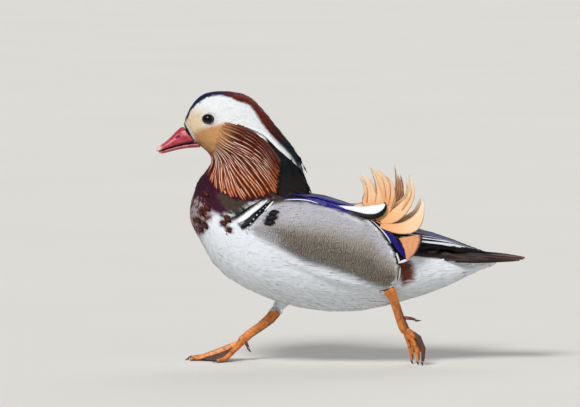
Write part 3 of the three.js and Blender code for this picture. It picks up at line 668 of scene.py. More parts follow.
def ruff_fade(tint, points, along):
    """Painted shade at the roots, and orange tips along the ruff's lower edge."""
    reach = np.hypot(points[:, 0] - RUFF_FAN[0], points[:, 2] - RUFF_FAN[1])
    low = smoothstep(180, 160, points[:, 2])
    painted_root_shade = 1 - 0.35 * smoothstep(12, 30, reach) * (1 - along)
    return mix(tint * painted_root_shade[:, None], linear(RUFF_TIP), low * (0.25 + 0.55 * smoothstep(0.6, 1.0, along)))


def shaft_paleness(points):
    """The shafts are whitish over the front and middle of the ruff and rusty along its upper edge."""
    from_edge, _ = distance_to_line(points[:, 0], points[:, 2], RUFF_UPPER_EDGE)
    reach = np.hypot(points[:, 0] - RUFF_FAN[0], points[:, 2] - RUFF_FAN[1])
    return (0.12 + 0.88 * smoothstep(3, 14, from_edge)) * smoothstep(11, 26, reach)


def ruff_down_shaded_colours(points, jitter):
    """The underfeathers that show between the hackles, darkened with painted shade away from the cheek."""
    px, _, pz = points.T
    reach = np.hypot(px - RUFF_FAN[0], pz - RUFF_FAN[1])
    return ruff_colours(points, jitter) * (1 - 0.62 * smoothstep(10, 26, reach))[:, None]


def crown_share(x, y, z):
    """1 on the dark crown above the brow's upper edge, 0 on the brow."""
    front_x = CROWN_EDGE[0][0]
    front = (x < front_x) & (z > 208.5)
    narrow = 3.0 + 9.0 * smoothstep(209, 236, z)
    top = smoothstep(-0.7, 0.7, z - height_on(CROWN_EDGE, x)) * (x > front_x)
    return np.maximum(top, np.where(front, smoothstep(narrow, narrow - 1.5, np.abs(y)), 0))


def flank_height(x, z):
    """How high up the flank a side place is, from 0 at the lower edge to 1 at the upper."""
    low, high = height_on(FLANK_LOW, x), height_on(FLANK_HIGH, x)
    return np.clip((z - low) / (high - low), 0, 1)


def flank_barring(points):
    """How strongly the fine dark bars of the flank show at points."""
    x, y, z = points.T
    inside = smoothstep(-2, 6, depth_inside(x, z, FLANK))
    return inside * (0.16 + 0.5 * smoothstep(0.85, 0.4, flank_height(x, z))) * (np.abs(y) > 16)


def flank_length(points):
    """Shorter feathers towards the flank's rear edge."""
    gap, _ = distance_to_line(points[:, 0], points[:, 2], FLANK_REAR_EDGE)
    return 0.5 + 0.5 * smoothstep(1, 12, gap)


# Lie of the feathers: (x, z, direction x, direction outwards, direction z)
COMB = [
    (-136, 205, 0.6, 0.5, 0.5), (-132, 195, 0.9, 0.5, -0.2), (-125, 226, 0.5, 0.2, 0.8),
    (-112, 238, 1, 0, 0.2), (-115, 216, 1, 0.1, 0.05), (-118, 200, 1, 0.2, -0.35),
    (-113, 190, 0.5, 0.2, -0.9), (-95, 238, 1, 0, -0.2), (-95, 225, 1, 0, -0.05), (-80, 226, 0.8, 0, -0.5),
    (-70, 208, 0.66, 0, -0.75), (-52, 186, 0.55, 0, -0.83), (-40, 165, 0.4, 0, -0.9),
    (-50, 155, 0.4, 0, -0.9), (-62, 215, 0.6, 0, -0.8), (-115, 172, 0.1, 0.1, -1),
    (-125, 162, 0.1, 0.3, -1), (-132, 140, 0.25, 0.4, -1), (-120, 120, 0.6, 0.3, -0.8),
    (-105, 95, 0.9, 0.1, -0.4), (-105, 140, 0.8, 0.2, -0.7), (-85, 150, 0.9, 0.1, -0.4),
    (-80, 120, 0.95, 0.1, -0.35), (-60, 70, 1, 0, -0.1), (-50, 145, 1, 0.1, -0.1), (-50, 120, 1, 0, -0.12),
    (-40, 90, 1, 0, -0.22), (-20, 60, 1, 0, 0), (0, 140, 1, 0, -0.3), (0, 110, 1, 0, -0.12),
    (0, 80, 1, 0, -0.12), (20, 125, 0.95, 0, -0.45), (35, 105, 0.95, 0, -0.3), (40, 80, 0.97, 0, -0.1),
    (30, 60, 1, 0, 0.1), (60, 110, 1, -0.1, -0.35), (70, 80, 1, -0.1, 0.15), (100, 95, 1, -0.2, -0.1),
    (110, 80, 1, -0.3, 0.2), (140, 93, 1, 0, -0.05),
]


# The same for the long feathers of the ruff
RUFF_COMB = [
    (-103, 212.6, 0.97, 0.1, -0.24), (-84.5, 207.7, 0.9, 0.1, -0.42), (-71, 200.6, 0.74, 0.1, -0.66),
    (-60.5, 187.4, 0.48, 0, -0.86), (-111, 200.6, 0.7, 0.2, -0.66), (-102, 196, 0.9, 0.15, -0.4),
    (-93, 193.6, 0.92, 0.1, -0.38), (-80, 189, 0.82, 0.1, -0.56), (-67, 178.6, 0.6, 0, -0.8),
    (-102, 182, 0.6, 0.1, -0.78), (-89, 174.2, 0.62, 0.05, -0.78), (-76, 165.4, 0.6, 0, -0.8),
    (-108, 178.6, 0.15, 0.1, -0.98), (-112.6, 174, 0, 0.1, -1), (-99.4, 161, 0.3, 0, -0.95),
    (-89, 154.9, 0.55, 0, -0.82), (-67, 156.6, 0.5, 0, -0.86),
]


def comb(points, table=COMB):
    """The direction that feathers lie in at points, before it is laid on the skin."""
    anchors = np.array(table, dtype=float)
    gaps = ((points[:, None, [0, 2]] - anchors[None, :, :2]) ** 2).sum(2)
    weights = 1 / (gaps + 9.0) ** 2
    weights /= weights.sum(1, keepdims=True)
    run = weights @ anchors[:, 2:]
    run[:, 1] *= np.sign(points[:, 1]) * np.minimum(np.abs(points[:, 1]) / 6, 1)
    return unit(run)


def ruff_comb(points):
    return comb(points, RUFF_COMB)


def lengths_within(outline, roots, lengths, flow):
    """Lengths cut short so that each feather ends near the side outline that it runs out of."""
    steps = 14
    margin = rng.uniform(-1.0, 3.5, len(roots))
    ahead = roots.copy()
    inside = np.ones(len(roots), dtype=bool)
    share = np.zeros(len(roots))
    for n in range(1, steps + 1):
        ahead = ahead + flow(ahead) * (lengths / steps)[:, None]
        inside &= depth_inside(ahead[:, 0], ahead[:, 2], outline) > -margin
        share = np.where(inside, n / steps, share)
    return lengths * np.maximum(share, 0.22)


# Skin

class Skin:
    """The bird's skin as a surface to plant feathers on."""

    def __init__(self, mesh):
        mesh.calc_loop_triangles()
        count = len(mesh.loop_triangles)
        self.points = points_of(mesh)
        corners = np.empty(count * 3, dtype=np.int32)
        mesh.loop_triangles.foreach_get("vertices", corners)
        self.faces = corners.reshape(-1, 3)
        loops = np.empty(count * 3, dtype=np.int32)
        mesh.loop_triangles.foreach_get("loops", loops)
        uv = np.empty(len(mesh.loops) * 2, dtype=np.float32)
        mesh.uv_layers["OFBake"].data.foreach_get("uv", uv)
        self.uv = uv.reshape(-1, 2)[loops].reshape(-1, 3, 2)
        a, b, c = (self.points[self.faces[:, k]] for k in range(3))
        cross = np.cross(b - a, c - a)
        self.areas = np.linalg.norm(cross, axis=1) / 2
        self.centres = (a + b + c) / 3
        self.tree = BVHTree.FromPolygons(self.points.tolist(), self.faces.tolist())
        self.normals = normals_of(mesh)

    def nearest(self, points):
        """The nearest places on the skin and its smooth normals there."""
        places = np.empty_like(points)
        hits = np.empty(len(points), dtype=np.int64)
        for n, point in enumerate(points):
            spot, _, face, _ = self.tree.find_nearest(point)
            places[n] = spot
            hits[n] = face
        normals = unit(self.normals[self.faces[hits]].mean(1))
        return places, normals

    def bake_places(self, points):
        """Where points on the skin are on its bake map."""
        made = np.empty((len(points), 2))
        for n, point in enumerate(points):
            spot, _, face, _ = self.tree.find_nearest(point)
            corners = [Vector(corner) for corner in self.points[self.faces[face]]]
            made[n] = np.array(poly_3d_calc(corners, spot)) @ self.uv[face]
        return made

    def scatter(self, wanted, spacing):
        """Evenly spread random places on the faces that are wanted, with their bake map places."""
        chosen = np.flatnonzero(wanted)
        areas = self.areas[chosen]
        tries = int(areas.sum() / spacing**2 * 5) + 1
        picks = chosen[rng.choice(len(chosen), tries, p=areas / areas.sum())]
        r1, r2 = np.sqrt(rng.random(tries)), rng.random(tries)
        weights = np.stack([1 - r1, r1 * (1 - r2), r1 * r2], 1)
        places = (self.points[self.faces[picks]] * weights[:, :, None]).sum(1)
        uv = (self.uv[picks] * weights[:, :, None]).sum(1)
        keep = spread_out(places, spacing * 0.82)
        return places[keep], uv[keep]


def spread_out(places, gap):
    """The places that are left when each crowded neighbour is dropped, first come first kept."""
    cells = {}
    kept = []
    keys = np.floor(places / gap).astype(int)
    near = [(i, j, k) for i in (-1, 0, 1) for j in (-1, 0, 1) for k in (-1, 0, 1)]
    for n, (key, place) in enumerate(zip(keys.tolist(), places.tolist())):
        crowded = False
        for i, j, k in near:
            for other in cells.get((key[0] + i, key[1] + j, key[2] + k), ()):
                if (sum((a - b) ** 2 for a, b in zip(other, place))) < gap * gap:
                    crowded = True
                    break
            if crowded:
                break
        if not crowded:
            cells.setdefault(tuple(key), []).append(place)
            kept.append(n)
    return kept


# Coat

# Widths along a feather from root to tip, as shares of its full width
ROUND_TIP = (0.35, 0.85, 1.0, 0.9, 0.45)
POINTED_TIP = (0.45, 0.9, 1.0, 0.75, 0.12)
HACKLE_TIP = (0.4, 0.75, 1.0, 0.85, 0.1)
LONG_TIP = (0.7, 1.0, 1.0, 1.0, 0.95, 0.8, 0.15)
RUFF_LINE_GAP = 2.1               # between neighbouring rows of hackles, in millimetres


def lay_feathers(skin, roots, lengths, widths, rows, lift, drape, profile, flow, camber, stray):
    """Rows of points down each feather as it lies along the skin, and the sideways run of its vane."""
    places, normals = skin.nearest(roots)
    run = flow(places)
    run = unit(run - (run * normals).sum(1, keepdims=True) * normals)
    turn = rng.normal(0, stray, len(roots))[:, None]
    run = unit(run * np.cos(turn) + np.cross(normals, run) * np.sin(turn))
    step = lengths / (rows - 1)
    here = places + normals * lift[0]
    wobble = rng.uniform(0.75, 1.25, len(roots))
    shafts, sides, ups = [here], [np.cross(normals, run)], [normals]
    for row in range(1, rows):
        share = row / (rows - 1)
        height = (lift[0] + (lift[1] - lift[0]) * share) * wobble
        ahead = here + run * step[:, None]
        near, fresh = skin.nearest(ahead)
        out = ahead - near
        size = np.linalg.norm(out, axis=1) * np.sign((out * fresh).sum(1))
        away = unit(out)
        held = np.clip(size, height, height + drape * share)
        upright = (size < height)[:, None]
        placed = np.where(upright, near + fresh * height[:, None], near + away * held[:, None])
        wish = flow(near)
        wish = unit(wish - (wish * fresh).sum(1, keepdims=True) * fresh)
        run = unit(0.6 * unit(placed - here) + 0.4 * wish)
        here = placed
        shafts.append(here)
        sides.append(unit(np.cross(fresh, run)))
        ups.append(fresh)
    shafts, sides, ups = (np.stack(part, 1) for part in (shafts, sides, ups))
    shape = np.interp(np.linspace(0, 1, rows), np.linspace(0, 1, len(profile)), profile)
    half = 0.5 * widths[:, None] * shape
    across = np.array([-1.0, 0.0, 1.0])
    spread = sides[:, :, None, :] * (half[:, :, None] * across)[..., None]
    crown = ups[:, :, None, :] * (half[:, :, None] * camber * (1 - np.abs(across)))[..., None]
    return shafts[:, :, None, :] + spread + crown


def flow_lines(skin, wanted, flow, outline, gap):
    """Long lines down the lie of the feathers, a gap apart, that stop at the outline or near another line."""
    seeds, _ = skin.scatter(wanted, gap)
    taken = np.full((1, 3), 1e6)
    lines = []
    for seed in seeds:
        if np.linalg.norm(taken - seed, axis=1).min() < gap:
            continue
        halves = []
        for way in (-1, 1):
            here, half = seed[None], []
            for _ in range(90):
                here, _ = skin.nearest(here + way * flow(here))
                crowded = np.linalg.norm(taken - here, axis=1).min() < 0.6 * gap
                outside = depth_inside(here[:, 0], here[:, 2], outline)[0] < 0
                if crowded or outside or abs(here[0, 1]) < 3:
                    break
                half.append(here[0])
            halves.append(half)
        line = np.array(halves[0][::-1] + [seed] + halves[1])
        taken = np.concatenate([taken, line])
        if len(line) > 5:
            lines.append(line)
    return lines


def planted_on(skin, lines, stride, longest):
    """Roots a stride apart down lines of one-millimetre steps, with their bake places and lengths."""
    roots, lengths = [], []
    for line in lines:
        first = int(rng.integers(0, 3))
        for start in range(first, max(first + 1, len(line) - 6), stride):
            roots.append(line[start])
            lengths.append(min(longest, len(line) - start + rng.uniform(-0.5, 3.0)))
    roots = np.array(roots)
    return roots, skin.bake_places(roots), np.array(lengths)


def quads_of(index):
    """Quads between the neighbours of a grid of point numbers."""
    return np.stack([index[:-1, :-1], index[1:, :-1], index[1:, 1:], index[:-1, 1:]], -1).reshape(-1, 4)


def grid_faces(count, rows, columns):
    """Quads of many grids of points, one after another."""
    one = quads_of(np.arange(rows * columns).reshape(rows, columns))
    return (one[None] + np.arange(count)[:, None, None] * rows * columns).reshape(-1, 4)


def scattered(skin, wanted, spacing, length, length_at=None, within=None, flow=None):
    """Evenly spread feather roots over the wanted part of the skin, with their bake places and lengths."""
    roots, root_uv = skin.scatter(wanted, spacing)
    lengths = length * rng.uniform(0.85, 1.15, len(roots))
    if length_at is not None:
        lengths = lengths * length_at(roots)
    if within is not None:
        lengths = lengths_within(within, roots, lengths, flow)
    return roots, root_uv, lengths


def coat_piece(name, skin, planted, material, colours, width, rows=4,
               lift=(0.15, 1.0), drape=0.0, profile=ROUND_TIP, flow=comb, jitter=0.5, shade=0.06,
               stray=0.12, camber=0.18, root_shade=0.14, attributes=None, fade=None):
    """One piece of the coat: a feather on each planted root."""
    roots, root_uv, lengths = planted
    count = len(roots)
    widths = width * rng.uniform(0.85, 1.15, count)
    grid = lay_feathers(skin, roots, lengths, widths, rows, lift, drape, profile, flow, camber, stray)
    points = grid.reshape(-1, 3)
    shift = np.repeat(rng.normal(0, jitter, (count, 3)), rows * 3, axis=0)
    tint = colours(points, shift)
    tone = np.repeat(1 + rng.normal(0, shade, count), rows * 3)
    along = np.tile(np.repeat(np.linspace(0, 1, rows), 3), count)
    # Painted shade: each feather is darker towards its root, where the feathers ahead lie over it
    tint = tint * tone[:, None] * (1 - root_shade * (1 - along))[:, None]
    if fade is not None:
        tint = fade(tint, points, along)
    u = np.tile([0.0, 0.5, 1.0], count * rows)
    vane = np.stack([u, along], 1)
    bake = np.repeat(root_uv, rows * 3, axis=0) + (vane - 0.5) * PATCH
    mesh = mesh_from(name, points, grid_faces(count, rows, 3), np.clip(tint, 0, 1), vane, bake)
    for attribute, value_at in (attributes or {}).items():
        layer = mesh.attributes.new(attribute, "FLOAT", "POINT")
        layer.data.foreach_set("value", value_at(points).astype(np.float32))
    return finish_piece(name, mesh, material)


# Large feathers

def blade_points(path, thickness, columns=7, rows=16, ragged=0.0, cup=0.0):
    """A closed leaf-shaped vane along rows of (x, y, z, width, normal x, y, z), thin at its edges."""
    rows_at = curve_rows(path, rows)
    spine, width, up = rows_at[:, :3], rows_at[:, 3], unit(rows_at[:, 4:7])
    run = unit(np.gradient(spine, axis=0))
    side = unit(np.cross(up, run))
    up = np.cross(run, side)
    across = np.linspace(-1, 1, columns)
    rag = 1 + ragged * rng.normal(0, 1, (rows, 2))
    half = width[:, None] / 2 * np.where(across < 0, rag[:, :1], rag[:, 1:])
    flat = spine[:, None] + side[:, None] * (half * across)[..., None]
    flat = flat - up[:, None] * (cup * half * across**2)[..., None]
    along = np.linspace(0, 1, rows)
    full = thickness / 2 * (1 - across**2)[None] * np.minimum(1, 6 * along * (1 - along) + 0.05)[:, None]
    full[[0, -1]] = 0
    return flat + up[:, None] * full[..., None], flat - up[:, None] * full[..., None], along, across


def blades_mesh(name, blades, tint_of, **shape):
    """Many vanes joined in one mesh, each a closed shell with its own cell of the bake map."""
    all_points, all_faces, tints, vanes, bakes = [], [], [], [], []
    start = 0
    cells = math.ceil(math.sqrt(len(blades)))
    for number, path in enumerate(blades):
        top, bottom, along, across = blade_points(path, **shape)
        rows, columns = len(along), len(across)
        index_top = np.arange(rows * columns).reshape(rows, columns)
        index_bottom = index_top.copy()
        inner = (rows - 2) * (columns - 2)
        index_bottom[1:-1, 1:-1] = rows * columns + np.arange(inner).reshape(rows - 2, columns - 2)
        points = np.concatenate([top.reshape(-1, 3), bottom[1:-1, 1:-1].reshape(-1, 3)])
        u, v = np.meshgrid((across + 1) / 2, along)
        vane = np.stack([u, v], -1)
        vane = np.concatenate([vane.reshape(-1, 2), vane[1:-1, 1:-1].reshape(-1, 2)])
        all_faces.append(quads_of(index_top) + start)
        all_faces.append(quads_of(index_bottom)[:, ::-1] + start)
        all_points.append(points)
        tints.append(tint_of(number, vane[:, 0], vane[:, 1], points))
        vanes.append(vane)
        corner = np.array([number % cells, number // cells]) / cells
        bakes.append(corner + (0.04 + 0.92 * vane) / cells)
        start += len(points)
    return mesh_from(name, np.concatenate(all_points), np.concatenate(all_faces),
                     np.concatenate(tints), np.concatenate(vanes), np.concatenate(bakes))


# Sails: flames of the inner wing feathers, path points (x, z, width), as they stand over the back
FLAMES = [
    [(30.0, 131.0, 6), (21.0, 137.5, 8), (11.5, 139.8, 1.2)],
    [(29.0, 128.0, 7), (25.5, 142.0, 14), (25.8, 152.2, 9), (23.8, 160.6, 5.2), (17.2, 168.6, 0.8)],
    [(33.0, 127.0, 8), (37.6, 140.5, 17), (39.4, 151.0, 17.5), (34.6, 162.5, 11), (27.0, 172.6, 1.6)],
    [(35.0, 124.5, 5), (46.0, 130.8, 12), (56.8, 140.6, 9.4), (62.4, 152.0, 4.8), (61.4, 166.1, 0.8)],
    [(34.0, 123.5, 5), (48.5, 121.0, 11.5), (61.0, 123.0, 15), (69.3, 133.0, 7.0), (72.2, 145.2, 0.8)],
    [(60.4, 114.6, 20.6), (61.0, 110.4, 19), (60.6, 103.6, 13), (58.8, 98.0, 6.4), (57.2, 94.2, 1.0)],
]
# Narrow points and wisps that stand off the broad flames
WISPS = [
    [(38.0, 142.0, 0.8), (36.0, 156.0, 5), (31.0, 167.5, 3.2), (24.6, 174.8, 0.4)],
    [(41.0, 140.0, 0.8), (41.0, 154.0, 4.6), (38.0, 164.5, 2.8), (33.6, 172.0, 0.4)],
    [(43.4, 138.0, 0.8), (45.4, 150.0, 4.0), (44.4, 159.0, 2.2), (41.0, 166.0, 0.4)],
    [(53.0, 136.0, 0.6), (59.0, 147.0, 3), (60.4, 154.0, 2.0), (58.2, 161.0, 0.4)],
    [(22.0, 143.0, 0.6), (21.6, 152.0, 3), (19.4, 160.0, 2.0), (14.6, 166.0, 0.4)],
]
REAR_FLAME = [(41.0, 130.0, 5), (50.5, 141.0, 8), (53.0, 153.0, 7), (49.6, 170.0, 0.8)]
REAR_WISPS = [
    [(46.0, 138.0, 1), (50.5, 152.0, 4), (50.0, 164.0, 2), (48.0, 177.0, 0.5)],
    [(49.0, 140.0, 1), (54.5, 152.0, 3.4), (55.0, 160.0, 2), (53.4, 168.0, 0.5)],
]
LOWEST_FLAME = len(FLAMES) - 1
FIRST_REAR_BLADE = len(FLAMES) + len(WISPS)
# How far out from the middle the sail stands at each height, as (z, y)
SAIL_LEAN = [(92, 39), (102, 38.4), (110, 36), (118, 31.5), (126, 24), (136, 17), (150, 13), (175, 12)]
FAR_SAIL_SCALE = 0.95
FLAME_LAYER = 0.21                # from one flame to the next, outwards


def sail_blades(side, scale, flames):
    """Flame paths stood up on one side of the back, leaning as the sail does."""
    lean_z, lean_y = np.array(SAIL_LEAN, dtype=float).T
    root = np.array(FLAMES[0][0][:2])
    made = []
    for layer, flame in enumerate(flames):
        path = []
        for x, z, width in curve_rows(flame, 9):
            flat_x = root[0] + (x - root[0]) * scale
            flat_z = root[1] + (z - root[1]) * scale
            lean = np.interp(flat_z, lean_z, lean_y)
            slope = (np.interp(flat_z + 3, lean_z, lean_y) - np.interp(flat_z - 3, lean_z, lean_y)) / 6
            path.append((flat_x, side * (lean + layer * FLAME_LAYER), flat_z, width, 0, side, -slope))
        made.append(path)
    return made


def sail_tint(number, u, v, points):
    """Orange vanes, deeper towards the root and the edges, with pale points and reddish inner plumes."""
    streak = 0.5 + 0.5 * np.sin(u * 21 + 2.0 * np.sin(v * 7 + number))
    tint = mix(linear(SAIL_ROOT), linear(SAIL_MIDDLE), smoothstep(0.05, 0.55, v))
    tint = mix(tint, linear(SAIL_STREAK), 0.35 * streak)
    tint = mix(tint, linear(SAIL_EDGE), 0.5 * smoothstep(0.78, 1.0, np.abs(2 * u - 1)))
    tint = mix(tint, linear(SAIL_TIP), 0.85 * smoothstep(0.62, 1.0, v))
    if number == LOWEST_FLAME:
        tint = mix(linear(LOW_FLAME), linear(LOW_FLAME_STREAK), streak)
        lower = u if points[:, 1].mean() < 0 else 1 - u
        tint = mix(tint, linear(LOW_FLAME_VIOLET), smoothstep(0.86, 0.92, lower))
    reddish = (number >= FIRST_REAR_BLADE) * smoothstep(0.97, 0.8, v)
    return mix(tint, linear(SAIL_INNER), reddish * (0.5 + 0.45 * streak))


SIDE_START = 200.0                # rays from the side start this far out, clear of the bird


def surface_y(tree, x, z, side):
    """Where a solid's side is at a side place: its distance from the middle, and its normal."""
    start = Vector((x * MM, side * SIDE_START * MM, z * MM))
    spot, normal, _, _ = tree.ray_cast(start, Vector((0, -side, 0)))
    if spot is None:
        return None, None
    return spot.y / MM, normal


def tree_of(nodes):
    """A search tree over the surfaces of CAD nodes, in metres."""
    builder = bmesh.new()
    for name in nodes:
        builder.from_mesh(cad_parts[name].data)
    tree = BVHTree.FromBMesh(builder)
    builder.free()
    return tree


# Long wing feathers that lie folded over the rump: root and tip lines as (x, z)
PRIMARY_ROOTS = [(50.0, 119.0), (56.0, 101.5)]
PRIMARY_TIPS = [(106.0, 105.6), (132.3, 96.4)]
PRIMARIES = 7
PRIMARY_WIDTH = 6.4
PRIMARY_BOW = 1.6                 # how far the feathers arch upwards at their middles


def primary_blades(side):
    """Folded primaries, one beside another down the side of the wing tip."""
    tree = tree_of(["wing_tip_left" if side < 0 else "wing_tip_right"])
    made = []
    for n in range(PRIMARIES):
        share = n / (PRIMARIES - 1)
        root = np.array(PRIMARY_ROOTS[0]) * (1 - share) + np.array(PRIMARY_ROOTS[1]) * share
        tip = np.array(PRIMARY_TIPS[0]) * (1 - share) + np.array(PRIMARY_TIPS[1]) * share
        path = []
        for t in np.linspace(0, 1, 7):
            x, z = root * (1 - t) + tip * t
            z += PRIMARY_BOW * math.sin(math.pi * t)
            y, normal = surface_y(tree, x, z, side)
            if y is None:
                y = path[-1][1] if path else side * 20
                normal = Vector((0, side, 0.4))
            width = PRIMARY_WIDTH * (1 - 0.8 * t**3)
            path.append((x, y + side * 0.25 * (PRIMARIES - n) / PRIMARIES, z, width, 0, normal.y, normal.z))
        made.append(path)
    return made


def primary_tint(number, u, v, points, side):
    """Dark vanes with a silver outer edge, the top one violet-blue and the lowest all black."""
    upper = 1 - u if side > 0 else u
    dark = mix(linear(PRIMARY_BLACK), linear(PRIMARY_GREY), smoothstep(0.3, 0.9, v))
    if number == 0:
        return mix(dark, linear(PRIMARY_VIOLET), smoothstep(0.15, 0.45, upper))
    if number >= PRIMARIES - 2:
        return mix(dark, linear(PRIMARY_BROWN), smoothstep(0.5, 0.9, 1 - upper))
    return mix(dark, linear(PRIMARY_SILVER), smoothstep(0.52, 0.60, upper) * smoothstep(1.0, 0.93, v))


# Tail
TAIL_FEATHERS = 12
TAIL_ROOT_X = 84.0
TAIL_TIP_X = 162.0
TAIL_MIDDLE = 96.0                # height of a root that has no tail above or below it
TAIL_TOP = 98.4                   # height of the top side feathers at their roots
TAIL_SLOPE = 5.2                  # how far those come down by their tips
TAIL_SIDE_STEPS = [(-0.2, 1.0), (-2.4, 0.98), (-4.4, 0.93), (-6.0, 0.86)]    # drop and reach of side feathers


def tail_blades():
    """Tail feathers: a fan on top and underneath, and narrow ones stepped down each side."""
    tree = tree_of(["tail"])
    made = []
    for below in (True, False):
        for n in range(TAIL_FEATHERS):
            fan = (n / (TAIL_FEATHERS - 1)) * 2 - 1
            path = []
            for t in np.linspace(0, 1, 6):
                x = TAIL_ROOT_X + (TAIL_TIP_X - TAIL_ROOT_X) * (1 - 0.17 * fan**2) * t
                y = fan * (10 + 9 * t - 5 * t**3)
                start = Vector((x * MM, y * MM, 0 if below else 0.2))
                spot, _, _, _ = tree.ray_cast(start, Vector((0, 0, 1 if below else -1)))
                if spot is not None:
                    z = spot.z / MM
                else:
                    z = path[-1][2] if path else TAIL_MIDDLE
                width = 10.5 * (1 - 0.82 * t**4)
                path.append((x, y, z + (0.3 if below else -0.3), width, 0, 0, -1 if below else 1))
            made.append(path)
    for side in SIDES.values():
        for drop, reach in TAIL_SIDE_STEPS:
            path = []
            for t in np.linspace(0, 1, 6):
                x = TAIL_ROOT_X + 4 + (TAIL_TIP_X - TAIL_ROOT_X - 4) * reach * t
                z = TAIL_TOP + drop * (1 - 0.55 * t) - TAIL_SLOPE * t
                y, _ = surface_y(tree, x, z, side)
                y = y if y is not None else (path[-1][1] * 0.7 if path else side * 16)
                path.append((x, y + side * 0.3, z, 4.6 * (1 - 0.78 * t**3), 0, side, 0.5))
            made.append(path)
    return made


# Brown coverts under the folded wing that lead into the tail: (x, z, width)
TAIL_COVERTS = [
    [(60.0, 98.8, 3), (72.0, 98.4, 6.4), (88.0, 96.4, 7), (104.0, 93.6, 4), (112.0, 92.0, 0.6)],
    [(72.0, 101.0, 3), (86.0, 99.4, 6.4), (104.0, 96.6, 6.4), (122.0, 93.8, 3), (130.0, 92.8, 0.6)],
]


def covert_blades():
    """The brown coverts, laid on trunk, wing tip and tail."""
    made = []
    for side_name, side in SIDES.items():
        tree = tree_of(["trunk", "tail", f"wing_tip_{side_name}"])
        made += [side_blade(path, side, tree, 0.5) for path in TAIL_COVERTS]
    return made


def tail_tint(number, u, v, points):
    """Dark brown vanes with paler edges and a worn pinkish tip."""
    tint = mix(linear(TAIL_ROOT), linear(TAIL_WARM), smoothstep(0.55, 1.0, v))
    tint = mix(tint, linear(TAIL_TIP), smoothstep(0.90, 1.0, v) * 0.8)
    return mix(tint, linear(TAIL_EDGE), smoothstep(0.82, 1.0, np.abs(2 * u - 1)) * 0.4)


# White and black shoulder feather that stands over the base of each sail: (x, z, width)
SCAPULAR_PATH = [
    (-5.0, 139.6, 2.4), (7.4, 137.4, 6), (16.0, 135.8, 9.4), (23.0, 134.9, 12.2), (30.5, 135.6, 13.4),
    (36.4, 139.0, 8.4), (38.6, 143.0, 1.0),
]
# How far out from the middle it stands at each height, as (z, y)
SCAPULAR_SIDE = [(128, 28.0), (134, 24.5), (140, 20.5), (146, 17.5)]
# Narrow feathers that edge the wing behind the flank: (x, z, width)
FLANK_PIPING = [
    (17.0, 130.4, 1.4), (24.5, 128.4, 2.6), (30.2, 124.0, 3.2), (37.4, 116.6, 3.4), (43.4, 107.8, 3.4),
    (48.0, 98.2, 3.4), (50.0, 91.1, 3.2), (50.6, 81.8, 2.8), (49.2, 75.7, 1.0),
]
SPECULUM_PATH = [
    (33.0, 125.2, 2.4), (40.5, 117.4, 5.6), (48.2, 107.8, 7.6), (54.0, 99.6, 6.0), (57.0, 94.2, 1.0),
]
SPECULUM_RIM = [
    (30.0, 127.4, 1.4), (41.0, 120.4, 1.8), (50.6, 109.8, 1.8), (55.4, 101.0, 1.8), (57.6, 94.8, 0.8),
]
WING_BAR_END = [(50.2, 91.6, 1.0), (54.0, 92.8, 2.4), (60.6, 95.0, 1.4)]
BAR_WHITE_PATH = [
    (-64.4, 146.0, 1.0), (-70.0, 141.8, 3.0), (-77.6, 136.8, 4.4), (-84.4, 131.6, 4.6), (-90.8, 127.2, 1.6),
]
BAR_BLACK_PATH = [
    (-60.4, 145.0, 1.0), (-66.2, 140.8, 4.4), (-73.8, 134.4, 5.6), (-81.4, 127.4, 5.8), (-87.6, 122.6, 2.0),
]
BAR_FRONT_PATH = [(-66.4, 147.6, 0.6), (-78.0, 141.2, 1.6), (-87.4, 135.2, 2.4), (-95.4, 129.8, 0.8)]
SMALL_WHITE_PATH = [(-59.6, 144.6, 0.8), (-63.0, 141.0, 2.4), (-67.0, 137.2, 0.8)]
STRIPE_PATH = [(-50.0, 145.4, 0.5), (-40.0, 146.2, 1.6), (-30.0, 145.4, 1.7), (-20.0, 142.8, 0.5)]
BLUE_PATH = [
    (-52.0, 147.8, 1.0), (-40.0, 149.4, 4.4), (-20.0, 147.6, 5.4), (-2.0, 142.6, 4.6), (9.0, 139.2, 1.0),
]
PATCH_PATHS = [
    [(-67.4, 126.2, 1.0), (-62.6, 127.4, 5.6), (-57.6, 127.6, 0.6)],
    [(-66.0, 130.4, 1.0), (-61.0, 131.6, 6.2), (-55.6, 131.8, 0.6)],
    [(-63.4, 134.8, 1.0), (-59.0, 136.0, 5.4), (-54.2, 136.4, 0.6)],
]
DOTS = 8                          # pale dots behind the shoulder bars
# Upper colour, lower colour, where across the vane they meet, height off the surface, path
EDGE_FEATHERS = [
    (WHITE, NEARLY_BLACK, 0.56, 0.9, FLANK_PIPING),
    (BLUE, NEARLY_BLACK, 0.86, 1.0, SPECULUM_PATH),
    (RIM_PALE, RIM_ORANGE, 0.55, 1.9, SPECULUM_RIM),
    (WHITE, WHITE, 1.0, 1.2, WING_BAR_END),
    (NEARLY_BLACK, NEARLY_BLACK, 1.0, 1.2, BAR_FRONT_PATH),
    (BROW_WHITE, BROW_WHITE, 1.0, 1.3, BAR_WHITE_PATH),
    (NEARLY_BLACK, NEARLY_BLACK, 1.0, 1.4, BAR_BLACK_PATH),
    (BROW_WHITE, BROW_WHITE, 1.0, 1.2, SMALL_WHITE_PATH),
    (BLUE, BLUE, 1.0, 1.2, BLUE_PATH),
    (BROW_WHITE, BROW_WHITE, 1.0, 1.5, STRIPE_PATH),
    *[(NEARLY_BLACK, NEARLY_BLACK, 1.0, 1.1, path) for path in PATCH_PATHS],
]
# White plume that carries the brow's line down the crest
BROW_PLUME = [
    (-86.0, 210.6, 0.4), (-76.0, 207.2, 2.6), (-68.0, 203.8, 4.2), (-61.5, 197.8, 4.0), (-55.5, 191.2, 3.2),
    (-47.0, 183.0, 2.0), (-38.6, 174.4, 0.4),
]


